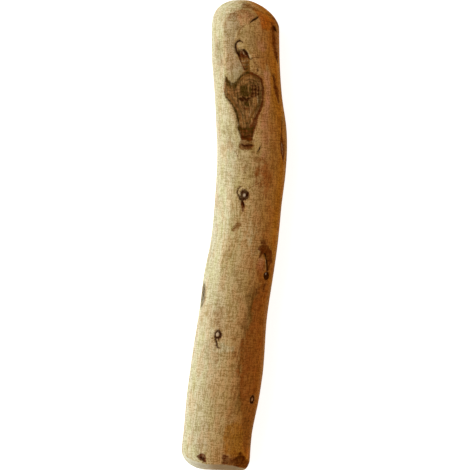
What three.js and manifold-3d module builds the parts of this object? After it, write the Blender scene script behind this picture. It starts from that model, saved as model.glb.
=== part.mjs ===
import * as THREE from 'three';
import { mergeVertices } from 'three/addons/utils/BufferGeometryUtils.js';
import Module from 'manifold-3d';

// A chew stick cut from a debarked olive branch, in millimetres with +Z up.
// It lies on its side along Y, on two flats shaved into its underside. The domed tip is at +Y, the sawn
// butt at -Y, and the scar of its side branch faces up. A place on its skin is given as degrees round from
// the top, positive towards +X, and as millimetres along from the middle.

const LENGTH = 200;

// How the branch grew: how far it bows sideways, how high its heart lies and how thick it is
const GROWTH = [
  { along: -100, bow: -2.7, lift: 1.3, radius: 14.7 },
  { along: -84, bow: -2.1, lift: 0.5, radius: 14.3 },
  { along: -70, bow: -0.9, lift: 0.6, radius: 15.1 },
  { along: -56, bow: 0.2, lift: 0.7, radius: 15.2 },
  { along: -34, bow: 1.3, lift: 0.2, radius: 14.3 },
  { along: -18, bow: 2.6, lift: 0.5, radius: 14.4 },
  { along: -4, bow: 4.2, lift: 0.6, radius: 14.1 },
  { along: 12, bow: 4.8, lift: 0.2, radius: 14.1 },
  { along: 32, bow: 5.2, lift: 0.1, radius: 14.6 },
  { along: 46, bow: 4.1, lift: 0.2, radius: 14.7 },
  { along: 60, bow: 2.0, lift: -0.2, radius: 14.1 },
  { along: 76, bow: -0.2, lift: 0.2, radius: 14.2 },
  { along: 100, bow: -1.4, lift: 1.1, radius: 14.0 },
];
const OVAL = 0.018;
const LOBES = 0.01;
const LOBE_TWIST = 45;

// How each end is rounded on its left and its right: how far in from the skin the rounding starts, as a
// share of the radius, how deep it is, and how full, where 2 is a round and less is leaner. The narrower
// the left's share, the sooner its rounding gives way to the right's on the way round.
const TIP = {
  side: 1,
  narrowing: 1,
  left: { inset: 1, depth: 11.4, fullness: 2.6 },
  right: { inset: 1, depth: 10.6, fullness: 1.6 },
};
const BUTT = {
  side: -1,
  narrowing: 2.5,
  left: { inset: 0.62, depth: 7.4, fullness: 1.8 },
  right: { inset: 0.2, depth: 2.9, fullness: 2 },
};

// Flats left by the knife that took the bark off, deepest at the middle of each stroke. None reaches
// further round the branch than so many radians either side of its middle.
const FLAT_REACH = 1;
const KNIFE_FLATS = [
  { angle: -56, along: 0, halfLength: 27, depth: 0.9 },
  { angle: -52, along: 74, halfLength: 17, depth: 0.6 },
  { angle: 44, along: -52, halfLength: 25, depth: 0.5 },
  { angle: 100, along: 6, halfLength: 34, depth: 0.6 },
  { angle: 128, along: 68, halfLength: 22, depth: 0.8 },
  { angle: -118, along: 40, halfLength: 30, depth: 0.8 },
  { angle: -138, along: -50, halfLength: 28, depth: 0.7 },
  { angle: 140, along: -60, halfLength: 26, depth: 0.7 },
];

// The side branch's scar: its swollen collar, the flat where it was cut off flush, and the line of bark
// that grew in round it, in two runs that meet above it and at its neck
const SCAR = { angle: -8, along: 56 };
const COLLAR = { ...SCAR, height: 1.5, across: 13, length: 19 };
const FLUSH_CUT = { ...SCAR, halfLength: 24, depth: 1.1 };
const SCAR_TOP = { angle: 1, along: 69.7 };
const SCAR_NECK = { angle: -7.3, along: 36.5 };
const RIGHT_SEAM = [
  SCAR_TOP,
  { angle: 19.7, along: 67.8 },
  { angle: 25.7, along: 64 },
  { angle: 26, along: 60 },
  { angle: 22, along: 55.5 },
  { angle: 13, along: 50.5 },
  { angle: 3.4, along: 44 },
  { angle: 0.5, along: 39 },
  SCAR_NECK,
];
const LEFT_SEAM = [
  SCAR_NECK,
  { angle: -14, along: 37.7 },
  { angle: -18.2, along: 45 },
  { angle: -23, along: 50 },
  { angle: -29.5, along: 54.6 },
  { angle: -40, along: 58 },
  { angle: -45.5, along: 61.5 },
  { angle: -43.5, along: 65 },
  { angle: -38.5, along: 67 },
  { angle: -28.9, along: 64.4 },
  { angle: -19.5, along: 65.3 },
  { angle: -9, along: 68.6 },
  SCAR_TOP,
];
const SEAM = { width: 1.1, sides: 5, stepLength: 2.1 };

// Bud knots, each a stub in a sunk ring on a low swelling. Olive buds sit in opposite pairs, so most do.
const KNOTS = [
  { angle: -10, along: 81.2, size: 1.3, swelling: 0.4 },
  { angle: -8, along: 17, size: 1.7, swelling: 0.7 },
  { angle: 168, along: 15, size: 1.5, swelling: 0.3 },
  { angle: 53, along: -15.8, size: 1.6, swelling: 0.8 },
  { angle: -126, along: -13, size: 1.8, swelling: 0.7 },
  { angle: -22.6, along: -43, size: 1.6, swelling: 0.6 },
  { angle: 155, along: -45, size: 1.4, swelling: 0.3 },
  { angle: 51.4, along: -69.5, size: 1.3, swelling: 0.5 },
  { angle: -128, along: -72, size: 1.6, swelling: 0.6 },
  { angle: 118, along: 44, size: 1.7, swelling: 0.7 },
];
const KNOT_MOAT = { thickness: 0.5, sunk: 0.2 };
const KNOT_SPREAD = { across: 4.6, length: 6.5 };

// Hollows, splits and strips of bark that the knife missed, each an oval cut as wide, long and deep as
// given, turned anticlockwise by lean
const HOLLOWS = [
  { angle: 0, along: 77.2, width: 2.6, length: 4.8, depth: 1.1, lean: 14 },
  { angle: 2, along: 72.6, width: 1.1, length: 5.2, depth: 0.5, lean: -8 },
  { angle: 17.5, along: 91.9, width: 0.9, length: 4.6, depth: 1.2, lean: -58 },
  { angle: -4, along: 61.2, width: 3.6, length: 4.4, depth: 0.45, lean: 0 },
  { angle: 13, along: 61.4, width: 2.2, length: 3.2, depth: 0.4, lean: 10 },
  { angle: -6, along: 42.6, width: 4.2, length: 2.2, depth: 0.4, lean: 5 },
  { angle: -9, along: 12.6, width: 1, length: 5, depth: 0.45, lean: 2 },
  { angle: 48, along: -7.4, width: 2.2, length: 6.4, depth: 0.5, lean: -14 },
  { angle: 51.5, along: -12.2, width: 1, length: 4, depth: 0.4, lean: 8 },
  { angle: -21.5, along: -47.2, width: 1, length: 5.6, depth: 0.45, lean: -6 },
  { angle: -24, along: -95, width: 3.4, length: 2.6, depth: 0.5, lean: 20 },
  { angle: 18, along: -95.4, width: 4, length: 2.6, depth: 0.5, lean: -8 },
  { angle: 40, along: -95.8, width: 4.4, length: 2.8, depth: 0.6, lean: 6 },
  { angle: 62, along: 82, width: 1.2, length: 11, depth: 0.45, lean: -6 },
  { angle: 56, along: 63, width: 1.3, length: 12, depth: 0.5, lean: -8 },
  { angle: 62, along: 43, width: 1.4, length: 17, depth: 0.5, lean: -3 },
  { angle: -78, along: -26, width: 2.6, length: 10, depth: 0.5, lean: 6 },
  { angle: -74, along: 67.6, width: 1.8, length: 5, depth: 0.4, lean: 0 },
  { angle: -128, along: -17, width: 1.1, length: 5, depth: 0.5, lean: 4 },
];

// How much is shaved flat off the lowest skin of the underside, so that the branch lies still
const SHAVED = 0.4;

// Mesh fineness: rings and segments of the skin, and of the shapes that cut it. The turns are degrees
// round each end's curve, from the middle of the end out to the skin.
const SEGMENTS = 40;
const FLANK_RINGS = 50;
const TIP_TURNS = [0, 9, 19, 30, 41, 52, 63, 74, 84];
const BUTT_TURNS = [0, 16, 32, 48, 64, 80];
const BUTT_DISC = 0.5;
const FRAME_STEP = 0.5;
const TORUS_SIDES = { tube: 5, round: 12 };
const OVAL_SIDES = { round: 10, rings: 6 };

const wasm = await Module();
wasm.setup();

const stations = new THREE.CubicInterpolant(
  GROWTH.map((station) => station.along),
  GROWTH.flatMap((station) => [station.bow, station.lift, station.radius]),
  3,
  new Float64Array(3),
);

function growthAt(along) {
  const [bow, lift, radius] = stations.evaluate(along);
  return { bow, lift, radius };
}

const MEAN_RADIUS = growthAt(0).radius;

function turnBetween(angle, degrees) {
  const turn = angle - THREE.MathUtils.degToRad(degrees);
  return Math.atan2(Math.sin(turn), Math.cos(turn));
}

function swellingHeight(swelling, spread, angle, along) {
  const across = (turnBetween(angle, swelling.angle) * MEAN_RADIUS) / spread.across;
  const away = (along - swelling.along) / spread.length;
  return Math.exp(-across * across - away * away);
}

// The branch before the knife: a little oval, with soft lobes that wind round it, a collar and knots
function grownRadius(angle, along) {
  const lobes = OVAL * Math.sin(2 * angle) + LOBES * Math.cos(3 * angle + along / LOBE_TWIST);
  let radius = growthAt(along).radius * (1 + lobes);
  radius += COLLAR.height * swellingHeight(COLLAR, COLLAR, angle, along);
  for (const knot of KNOTS) {
    radius += knot.swelling * swellingHeight(knot, KNOT_SPREAD, angle, along);
  }
  return radius;
}

function trimmedRadius(angle, along) {
  let radius = grownRadius(angle, along);
  for (const flat of [FLUSH_CUT, ...KNIFE_FLATS]) {
    const stroke = (along - flat.along) / flat.halfLength;
    const turn = turnBetween(angle, flat.angle);
    if (Math.abs(stroke) < 1 && Math.abs(turn) < FLAT_REACH) {
      const centre = grownRadius(THREE.MathUtils.degToRad(flat.angle), along);
      const flatHeight = centre - flat.depth * (1 - stroke * stroke);
      radius = Math.min(radius, flatHeight / Math.cos(turn));
    }
  }
  return radius;
}

function endShape(end, angle) {
  const toRight = 1 - ((1 - Math.sin(angle)) / 2) ** end.narrowing;
  const mix = (name) => THREE.MathUtils.lerp(end.left[name], end.right[name], toRight);
  return { inset: mix('inset'), depth: mix('depth'), fullness: mix('fullness') };
}

// How far out the skin stands, as a share of the radius: less than 1 only where an end is rounded
function endReach(angle, along) {
  const { inset, depth, fullness } = endShape(along > 0 ? TIP : BUTT, angle);
  const inward = Math.min((LENGTH / 2 - Math.abs(along)) / depth, 1);
  const rounding = (1 - (1 - inward) ** fullness) ** (1 / fullness);
  return 1 - inset * (1 - rounding);
}

function skinPoint(angle, along, share = 1) {
  const { bow, lift } = growthAt(along);
  const reach = trimmedRadius(angle, along) * endReach(angle, along) * share;
  return new THREE.Vector3(bow + reach * Math.sin(angle), along, lift + reach * Math.cos(angle));
}

// One ring of the skin as a function from the angle to its place along the branch
function endRing(end, turn) {
  return (angle) => {
    const { depth, fullness } = endShape(end, angle);
    const rounding = Math.cos(THREE.MathUtils.degToRad(turn)) ** (2 / fullness);
    return end.side * (LENGTH / 2 - depth * (1 - rounding));
  };
}

function flankRing(share) {
  return (angle) => {
    const from = -LENGTH / 2 + endShape(BUTT, angle).depth;
    const to = LENGTH / 2 - endShape(TIP, angle).depth;
    return THREE.MathUtils.lerp(from, to, share);
  };
}

function skinRings() {
  const butt = () => BUTT.side * (LENGTH / 2);
  const rings = [{ place: butt, share: 0 }, { place: butt, share: BUTT_DISC }];
  for (const turn of BUTT_TURNS) {
    rings.push({ place: endRing(BUTT, turn), share: 1 });
  }
  for (let ring = 0; ring < FLANK_RINGS; ring += 1) {
    rings.push({ place: flankRing(ring / (FLANK_RINGS - 1)), share: 1 });
  }
  for (const turn of [...TIP_TURNS].reverse()) {
    rings.push({ place: endRing(TIP, turn), share: 1 });
  }
  return rings;
}

function branchGeometry() {
  const rings = skinRings();
  const profile = rings.map((ring, step) => {
    const onAxis = step === 0 || step === rings.length - 1;
    return new THREE.Vector2(onAxis ? 0 : MEAN_RADIUS, ring.place(0));
  });
  const geometry = new THREE.LatheGeometry(profile, SEGMENTS);
  const position = geometry.attributes.position;
  for (let vertex = 0; vertex < position.count; vertex += 1) {
    const segment = Math.floor(vertex / rings.length) % SEGMENTS;
    const angle = (segment * 2 * Math.PI) / SEGMENTS;
    const ring = rings[vertex % rings.length];
    const point = skinPoint(angle, ring.place(angle), ring.share);
    position.setXYZ(vertex, point.x, point.y, point.z);
  }
  return geometry;
}

function shaveUnderside(geometry) {
  geometry.computeBoundingBox();
  const floor = geometry.boundingBox.min.z + SHAVED;
  const position = geometry.attributes.position;
  for (let vertex = 0; vertex < position.count; vertex += 1) {
    position.setZ(vertex, Math.max(position.getZ(vertex), floor));
  }
  return geometry;
}

function toSolid(geometry) {
  const bare = geometry.clone();
  bare.deleteAttribute('normal');
  bare.deleteAttribute('uv');
  const merged = mergeVertices(bare);
  const corners = merged.index.array;
  const triangles = [];
  for (let first = 0; first < corners.length; first += 3) {
    const [a, b, c] = corners.slice(first, first + 3);
    if (a !== b && b !== c && c !== a) {
      triangles.push(a, b, c);
    }
  }
  return new wasm.Manifold(new wasm.Mesh({
    numProp: 3,
    vertProperties: new Float32Array(merged.attributes.position.array),
    triVerts: new Uint32Array(triangles),
  }));
}

function toGeometry(solid) {
  const { vertProperties, triVerts } = solid.getMesh();
  const geometry = new THREE.BufferGeometry();
  geometry.setAttribute('position', new THREE.BufferAttribute(vertProperties, 3));
  geometry.setIndex(new THREE.BufferAttribute(triVerts, 1));
  geometry.computeVertexNormals();
  return geometry;
}

// The frame that stands on the skin at a place: Z out of the wood, Y along the branch
function skinFrame(place) {
  const angle = THREE.MathUtils.degToRad(place.angle);
  const turn = FRAME_STEP / MEAN_RADIUS;
  const origin = skinPoint(angle, place.along);
  const along = skinPoint(angle, place.along + FRAME_STEP)
    .sub(skinPoint(angle, place.along - FRAME_STEP))
    .normalize();
  const round = skinPoint(angle + turn, place.along).sub(skinPoint(angle - turn, place.along));
  const out = round.cross(along).normalize();
  const across = along.clone().cross(out);
  return new THREE.Matrix4().makeBasis(across, along, out).setPosition(origin);
}

function knotMoat(knot) {
  const torus = new THREE.TorusGeometry(knot.size, KNOT_MOAT.thickness, TORUS_SIDES.tube, TORUS_SIDES.round);
  torus.translate(0, 0, -KNOT_MOAT.sunk);
  return toSolid(torus.applyMatrix4(skinFrame(knot)));
}

function ovalCut(hollow) {
  const oval = new THREE.SphereGeometry(1, OVAL_SIDES.round, OVAL_SIDES.rings);
  oval.rotateX(Math.PI / 2);
  oval.scale(hollow.width / 2, hollow.length / 2, hollow.depth);
  oval.rotateZ(THREE.MathUtils.degToRad(hollow.lean));
  return toSolid(oval.applyMatrix4(skinFrame(hollow)));
}

// A run of the line of bark: a round cord laid half in the skin, which leaves a shallow channel
function seamCut(places) {
  const points = places.map((place) => new THREE.Vector3().setFromMatrixPosition(skinFrame(place)));
  const path = new THREE.CatmullRomCurve3(points);
  const section = new THREE.Shape();
  for (let side = 0; side < SEAM.sides; side += 1) {
    const turn = (side * 2 * Math.PI) / SEAM.sides;
    const corner = [(Math.cos(turn) * SEAM.width) / 2, (Math.sin(turn) * SEAM.width) / 2];
    if (side === 0) {
      section.moveTo(...corner);
    } else {
      section.lineTo(...corner);
    }
  }
  const steps = Math.round(path.getLength() / SEAM.stepLength);
  return toSolid(new THREE.ExtrudeGeometry(section, { steps, bevelEnabled: false, extrudePath: path }));
}

function makeStick() {
  let wood = toSolid(shaveUnderside(branchGeometry()));
  const cuts = [
    ...KNOTS.map(knotMoat),
    ...HOLLOWS.map(ovalCut),
    seamCut(RIGHT_SEAM),
    seamCut(LEFT_SEAM),
  ];
  for (const cut of cuts) {
    wood = wood.subtract(cut);
  }
  const material = new THREE.MeshStandardMaterial({ color: 0xb58a50, roughness: 0.6, metalness: 0 });
  const mesh = new THREE.Mesh(toGeometry(wood), material);
  mesh.name = 'stick';
  return mesh;
}

const stick = makeStick();
const box = new THREE.Box3().setFromObject(stick);
const middle = box.getCenter(new THREE.Vector3());
stick.position.set(-middle.x, -middle.y, -box.min.z);

const chewStick = new THREE.Group();
chewStick.add(stick);

export default chewStick;
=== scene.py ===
import math
from collections import namedtuple

import bmesh
import bpy
import numpy as np
from bpy.props import FloatProperty, FloatVectorProperty, IntProperty, PointerProperty
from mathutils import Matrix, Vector, noise


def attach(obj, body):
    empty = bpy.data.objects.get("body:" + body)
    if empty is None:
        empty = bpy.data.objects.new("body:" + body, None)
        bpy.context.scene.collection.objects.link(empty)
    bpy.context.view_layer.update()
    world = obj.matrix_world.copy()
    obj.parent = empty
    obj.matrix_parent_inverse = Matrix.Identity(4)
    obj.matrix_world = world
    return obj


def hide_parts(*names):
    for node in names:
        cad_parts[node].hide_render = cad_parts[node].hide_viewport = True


bl_info = {
    "name": "Olive Wood Chew Stick",
    "version": (1, 0, 0),
    "blender": (4, 5, 0),
    "location": "3D View > Sidebar > Chew Stick",
    "description": "A debarked olive branch with its branch scar, bud knots, splits and stains",
    "category": "Add Mesh",
}

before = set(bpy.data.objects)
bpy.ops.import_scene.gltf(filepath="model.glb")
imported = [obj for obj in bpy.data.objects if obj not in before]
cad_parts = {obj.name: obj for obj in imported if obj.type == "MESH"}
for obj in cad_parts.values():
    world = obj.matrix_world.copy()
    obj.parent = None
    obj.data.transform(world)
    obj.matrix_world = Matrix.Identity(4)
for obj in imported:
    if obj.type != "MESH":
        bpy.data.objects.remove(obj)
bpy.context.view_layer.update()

# A place on the skin is given as degrees round from the top, positive towards +X, and as millimetres
# along from the middle, as in the part itself. Widths and depths are in millimetres too.
MM = 0.001
NODE = "stick"
PIECE = "stick_wood"
HALF_LENGTH = 100
SKIN_RADIUS = 14.4

# Millimetres of skin to one degree
ARC = math.radians(SKIN_RADIUS)

# The heart line that the branch grew round: along, across and up
HEART_LINE = (
    (-100, -4.10, 15.44),
    (-84, -3.50, 14.64),
    (-70, -2.30, 14.74),
    (-56, -1.20, 14.84),
    (-34, -0.10, 14.34),
    (-18, 1.20, 14.64),
    (-4, 2.80, 14.74),
    (12, 3.40, 14.34),
    (32, 3.80, 14.24),
    (46, 2.70, 14.34),
    (60, 0.60, 13.94),
    (76, -1.60, 14.34),
    (100, -2.80, 15.24),
)

# How the ends of the plain tube are rounded before it is fitted: how far in from the skin, as a share of
# the radius, how deep, how far round the curve the rings go, in degrees, and how many rings there are.
# The end gap is how far from its place an edge of the open end may lie
TubeEnd = namedtuple("TubeEnd", "side inset depth turn rings")
TIP = TubeEnd(1, 1.0, 11.0, 62, 22)
BUTT = TubeEnd(-1, 0.42, 5.0, 84, 12)
END_GAP = 0.01

# The cage that bends the tube, and how the tube is then laid onto the solid
CAGE_RINGS = 51
CAGE_WIDTH = 60
MERGE_GAP = 0.001
FIT_REACH = 4
FIT_SMOOTHING = 34
FIT_SMOOTHING_SHARE = 0.5

# Marks painted or cut along a line: the layer of paint that it goes to, how strong it is there, how deep
# it is cut, and its course as angle, along and half its width
Stroke = namedtuple("Stroke", "paint strength depth course")
STROKES = {
    "eyelet hook": Stroke("bark", 0.95, 0.65, (
        (-3.5, 81.9, 0.16), (-6.5, 82.3, 0.26), (-10, 82.4, 0.34), (-13.5, 81.9, 0.38),
        (-15.5, 81.1, 0.38), (-16, 80.2, 0.4), (-15.5, 78.9, 0.44), (-14, 77.7, 0.56), (-12.5, 76.9, 0.5),
        (-10.5, 75.8, 0.3))),
    "eyelet left edge": Stroke("rot", 0.8, 0.3, (
        (-12, 76.3, 0.4), (-9.5, 75.1, 0.4), (-7.5, 73.5, 0.3), (-5, 71.9, 0.36), (-2.5, 70.3, 0.34))),
    "eyelet hollow": Stroke("bark", 1, 1.1, (
        (-3.5, 78.7, 0.24), (0, 78.2, 0.6), (2.5, 77.4, 0.7), (4.5, 76.4, 0.6), (5.5, 75.6, 0.4))),
    "eyelet right edge": Stroke("stain", 0.95, 0.25, (
        (5.5, 75.2, 0.3), (5.5, 74.1, 0.34), (5, 72.9, 0.36), (4.5, 71.6, 0.36), (5, 70.3, 0.34))),
    "eyelet curl": Stroke("bark", 0.8, 0.15, (
        (6, 75.2, 0.3), (8.5, 74.9, 0.32), (10.5, 75.4, 0.16))),
    "light bands of the eyelet": Stroke("glint_and_pale_fibre", 0.4, 0, (
        (-8.5, 74.1, 0.2), (-2.5, 74, 0.34), (3.5, 74.4, 0.2))),
    "lower light band of the eyelet": Stroke("glint_and_pale_fibre", 0.4, 0, (
        (-5, 72.5, 0.2), (-0.5, 72.3, 0.34), (4, 72.7, 0.2))),
    # Painted highlights beside the eyelet's hollow and in its pit
    "eyelet glint": Stroke("glint_and_pale_fibre", 1, 0, (
        (3, 78.4, 0.24), (6, 77.4, 0.34), (8, 76.1, 0.36), (9, 75.2, 0.2))),
    "pit glints": Stroke("glint_and_pale_fibre", 0.55, 0, (
        (-6.5, 78.3, 0.3), (-4.5, 78, 0.2), (-2, 77.2, 0.3), (0.5, 76.4, 0.3))),
    "eyelet cross lines": Stroke("stain", 0.95, 0.1, (
        (-7, 73.4, 0.24), (-2, 73.3, 0.3), (5, 73.6, 0.2))),
    "eyelet cross lines above": Stroke("stain", 0.9, 0.1, (
        (-9, 75, 0.24), (-2.5, 74.9, 0.3), (5, 75.3, 0.2))),
    "eyelet cross lines below": Stroke("stain", 0.9, 0.1, (
        (-4.5, 71.8, 0.24), (-0.5, 71.6, 0.3), (4.5, 71.9, 0.2))),
    "eyelet column": Stroke("char", 0.62, 0.1, (
        (-12, 79.4, 0.3), (-11.5, 78.4, 0.55), (-10.5, 77.3, 0.7), (-9, 76.2, 0.5))),
    "split above the eyelet": Stroke("bark", 1, 0.6, (
        (25, 93.1, 0.12), (20, 92.3, 0.42), (15, 91.7, 0.34), (11.5, 91, 0.3), (9, 90.5, 0.1))),
    "curl below the split": Stroke("stain", 0.85, 0.22, (
        (1.5, 89.5, 0.14), (-4, 88.5, 0.28), (-8, 87.5, 0.3), (-10, 86.4, 0.3), (-10.5, 84.9, 0.24),
        (-9.5, 83.7, 0.12))),
    "nick by the collar": Stroke("bark", 0.7, 0.2, (
        (20, 71.2, 0.12), (19.5, 70.5, 0.3), (19, 69.7, 0.16))),
    "scratch by the eyelet": Stroke("stain", 0.95, 0.06, (
        (11.5, 75.5, 0.14), (19, 75.9, 0.26), (26.5, 76, 0.26), (33.5, 76, 0.12))),
    "scratch below the eyelet": Stroke("stain", 0.85, 0.06, (
        (11.5, 74.6, 0.14), (15.5, 73.4, 0.24), (20.5, 72.6, 0.12))),
    "scar line right": Stroke("rot", 1, 0.34, (
        (1, 69.2, 0.3), (7, 69, 0.54), (12, 68.6, 0.5), (17, 68.1, 0.48), (21.5, 67.5, 0.5),
        (24, 66.2, 0.44), (24.5, 64.9, 0.4), (26, 63.7, 0.48), (26.5, 62.2, 0.52), (24.5, 60.3, 0.52),
        (23.5, 58.4, 0.46), (21, 56.2, 0.42), (17.5, 54.1, 0.42), (13.5, 52.1, 0.5), (10, 50.4, 0.54),
        (8, 48.6, 0.6), (6.5, 47, 0.6), (3.5, 45.2, 0.5))),
    "scar line left": Stroke("char", 0.88, 0.34, (
        (4.5, 69.4, 0.5), (0, 68.9, 0.5), (-5.5, 68.1, 0.46), (-10, 67.3, 0.46), (-14, 66.3, 0.42),
        (-18.5, 65, 0.42), (-22.5, 64, 0.46), (-27.5, 63.6, 0.5), (-31.5, 64.3, 0.5), (-34.5, 65.3, 0.5),
        (-36.5, 66.8, 0.36))),
    "crown of the scar": Stroke("stain", 0.95, 0.1, (
        (-9, 67.6, 0.3), (-3.5, 69.1, 0.4), (2, 70, 0.5), (6.5, 69.8, 0.4), (10.5, 69.1, 0.2))),
    "horn of the scar": Stroke("char", 0.54, 0.2, (
        (-37.5, 66.4, 0.3), (-41, 65.1, 0.3), (-43.5, 63.4, 0.34), (-44.5, 61.5, 0.4), (-43.5, 59.6, 0.44),
        (-39.5, 58.2, 0.5))),
    "light strip in the horn": Stroke("glint_and_pale_fibre", 0.42, 0, (
        (-38.5, 65, 0.16), (-39.5, 63, 0.3), (-39.5, 61.1, 0.3), (-37.5, 59.4, 0.14))),
    "scar line low left": Stroke("char", 0.9, 0.3, (
        (-39.5, 58.3, 0.42), (-34, 57, 0.51), (-30, 55.7, 0.48), (-26.5, 54.3, 0.42), (-23.5, 52.9, 0.48),
        (-22, 51.4, 0.46), (-21, 49.7, 0.48), (-20, 48, 0.48), (-19.5, 46.3, 0.56), (-20, 45.1, 0.51),
        (-19, 44.1, 0.34), (-17.5, 42.5, 0.26))),
    "ridge in the scar right": Stroke("char", 0.5, 0.12, (
        (18, 60, 0.2), (17.5, 57.4, 0.26), (14.5, 54.9, 0.22), (10.5, 52.9, 0.24), (5.5, 50.5, 0.3),
        (-0.5, 48.6, 0.24), (-7.5, 47.3, 0.3), (-14, 47.1, 0.2))),
    "inner ridge in the scar": Stroke("stain", 0.9, 0.12, (
        (12, 58.6, 0.2), (11.5, 56.1, 0.24), (8, 53.5, 0.2), (2, 51, 0.24), (-4, 49, 0.2),
        (-11, 48.3, 0.24), (-15, 49.4, 0.16))),
    "left ridge in the scar": Stroke("stain", 0.9, 0.12, (
        (-34, 60.1, 0.2), (-30, 57.6, 0.3), (-24, 55.7, 0.3), (-19, 53.8, 0.24), (-16.5, 51.4, 0.24),
        (-16, 48.1, 0.16))),
    "fibre in the left lobe": Stroke("char", 0.55, 0.08, (
        (-23.5, 62.8, 0.2), (-23, 60.7, 0.2), (-25.5, 58.1, 0.3), (-22.5, 55.6, 0.2))),
    "fibre by the heart": Stroke("char", 0.55, 0.08, (
        (-16, 63.3, 0.2), (-18, 60.7, 0.24), (-18, 57.3, 0.2), (-16, 54.4, 0.2))),
    "light fibre in the scar": Stroke("glint_and_pale_fibre", 0.62, 0, (
        (14.5, 59.8, 0.14), (14.5, 58.2, 0.26), (13.5, 56.5, 0.12))),
    "gold fibres in the scar": Stroke("glint_and_pale_fibre", 0.36, 0, (
        (-11, 52.5, 0.2), (-12, 51.1, 0.3), (-12.5, 49.4, 0.14))),
    "gold fibres by them": Stroke("glint_and_pale_fibre", 0.4, 0, (
        (1.5, 53.1, 0.2), (-0.5, 51.7, 0.34), (-3, 49.9, 0.14))),
    "first stripe of the heart": Stroke("char", 1, 0.1, (
        (-11, 63, 0.24), (-12, 61.6, 0.34), (-12, 59.8, 0.3))),
    "second stripe of the heart": Stroke("char", 1, 0.1, (
        (-5.5, 63.4, 0.24), (-7, 61.7, 0.36), (-7.5, 59.3, 0.3))),
    "third stripe of the heart": Stroke("char", 1, 0.1, (
        (-1, 63.5, 0.3), (-2, 61.6, 0.34), (-3.5, 59.3, 0.34))),
    "fourth stripe of the heart": Stroke("char", 1, 0.1, (
        (3, 63, 0.3), (2.5, 61.4, 0.34), (1, 59.6, 0.26))),
    "first beads of the heart": Stroke("bark", 0.9, 0.1, (
        (8, 63.6, 0.51), (8, 62.9, 0.17), (7.5, 62.1, 0.59), (7.5, 61.3, 0.2), (7, 60.6, 0.56),
        (6, 59.8, 0.17), (6, 59.1, 0.42))),
    "second beads of the heart": Stroke("bark", 0.9, 0.1, (
        (13.5, 63.7, 0.51), (13, 62.9, 0.17), (12.5, 62.1, 0.63), (12.5, 61.4, 0.2), (12, 60.7, 0.59),
        (11.5, 60, 0.17), (11, 59.4, 0.34))),
    "third beads of the heart": Stroke("bark", 0.85, 0.1, (
        (18, 63.4, 0.42), (17.5, 62.6, 0.17), (17, 61.7, 0.51), (17, 61, 0.17), (16.5, 60.3, 0.42))),
    "fork under the heart": Stroke("bark", 0.95, 0.1, (
        (-10, 58.9, 0.3), (-7, 58.1, 0.6), (-3, 57.6, 0.66), (1.5, 58.5, 0.4))),
    "foot of the fork": Stroke("bark", 0.85, 0.1, (
        (-4, 57.7, 0.5), (-4, 56.4, 0.4))),
    "upper arc in the scar": Stroke("char", 0.9, 0.14, (
        (-18.5, 45.5, 0.4), (-13.5, 45, 0.5), (-8, 45.4, 0.34), (-2.5, 45.1, 0.6), (3.5, 46.2, 0.4))),
    "second band of the neck": Stroke("char", 0.8, 0.1, (
        (-18, 43.6, 0.5), (-12.5, 44, 0.3), (-7.5, 43.4, 0.54), (2.5, 44.4, 0.4))),
    "third band of the neck": Stroke("bark", 0.6, 0.14, (
        (-17.5, 42.3, 0.4), (-12, 41.7, 0.6), (-5, 42.5, 0.4), (1, 42.3, 0.3))),
    "fourth band of the neck": Stroke("char", 0.5, 0.1, (
        (-15.5, 40.6, 0.5), (-9.5, 40.8, 0.4), (-5.5, 40.3, 0.5), (0.5, 41.1, 0.3))),
    "flecks in the neck": Stroke("glint_and_pale_fibre", 0.26, 0, (
        (-17, 42.9, 0.2), (-13, 42.9, 0.34), (-10, 42.8, 0.1))),
    "band under the neck": Stroke("bark", 0.8, 0.14, (
        (-16.5, 38.5, 0.4), (-12, 38.1, 0.5), (-5.5, 38.6, 0.6), (1, 38.5, 0.34))),
    "foot of the band": Stroke("rot", 0.6, 0.1, (
        (-16, 37.1, 0.4), (-10.5, 37.2, 0.6), (-5.5, 36.9, 0.5), (-1.5, 37.5, 0.34))),
    "light flecks by the neck": Stroke("glint_and_pale_fibre", 0.5, 0, (
        (-1.5, 40.1, 0.16), (3, 40.2, 0.28), (8.5, 40.4, 0.14))),
    "chevron right": Stroke("bark", 0.85, 0.25, (
        (14, 38.4, 0.12), (11.5, 36.9, 0.32), (9, 35.7, 0.22))),
    "chevron left": Stroke("bark", 0.5, 0.2, (
        (-28, 35.6, 0.1), (-26.5, 35, 0.26), (-24, 34, 0.18), (-21, 31.9, 0.1))),
    "thread above the second knot": Stroke("bark", 0.45, 0.08, (
        (-7.5, 30.8, 0.12), (-9, 28.3, 0.2), (-10, 25.7, 0.2), (-11, 23.1, 0.12))),
    "second knot crescent": Stroke("bark", 0.76, 0.3, (
        (-14.5, 20.6, 0.13), (-17.5, 20.2, 0.31), (-19.5, 19.2, 0.34), (-20, 18.1, 0.34), (-18, 17, 0.38),
        (-15.5, 16, 0.49), (-12, 15.1, 0.72))),
    "second knot tail": Stroke("bark", 1, 0.5, (
        (-13.5, 15.6, 0.5), (-11, 14.6, 0.6), (-8.5, 13.5, 0.5), (-7.5, 12.5, 0.3))),
    # Painted highlights beside the second knot
    "second knot glint": Stroke("glint_and_pale_fibre", 0.8, 0, (
        (-14, 19.8, 0.3), (-16.5, 18.9, 0.36), (-16.5, 17.8, 0.32), (-15, 16.9, 0.16))),
    "second knot low glint": Stroke("glint_and_pale_fibre", 0.9, 0, (
        (-5, 13.9, 0.3), (-4, 13.2, 0.36))),
    "flecks above the second knot": Stroke("glint_and_pale_fibre", 0.6, 0, (
        (-16.5, 21.1, 0.2), (-12.5, 22.3, 0.34), (-7.5, 21.9, 0.34), (-2.5, 20.1, 0.3))),
    "second knot flare": Stroke("stain", 0.8, 0.1, (
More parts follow.
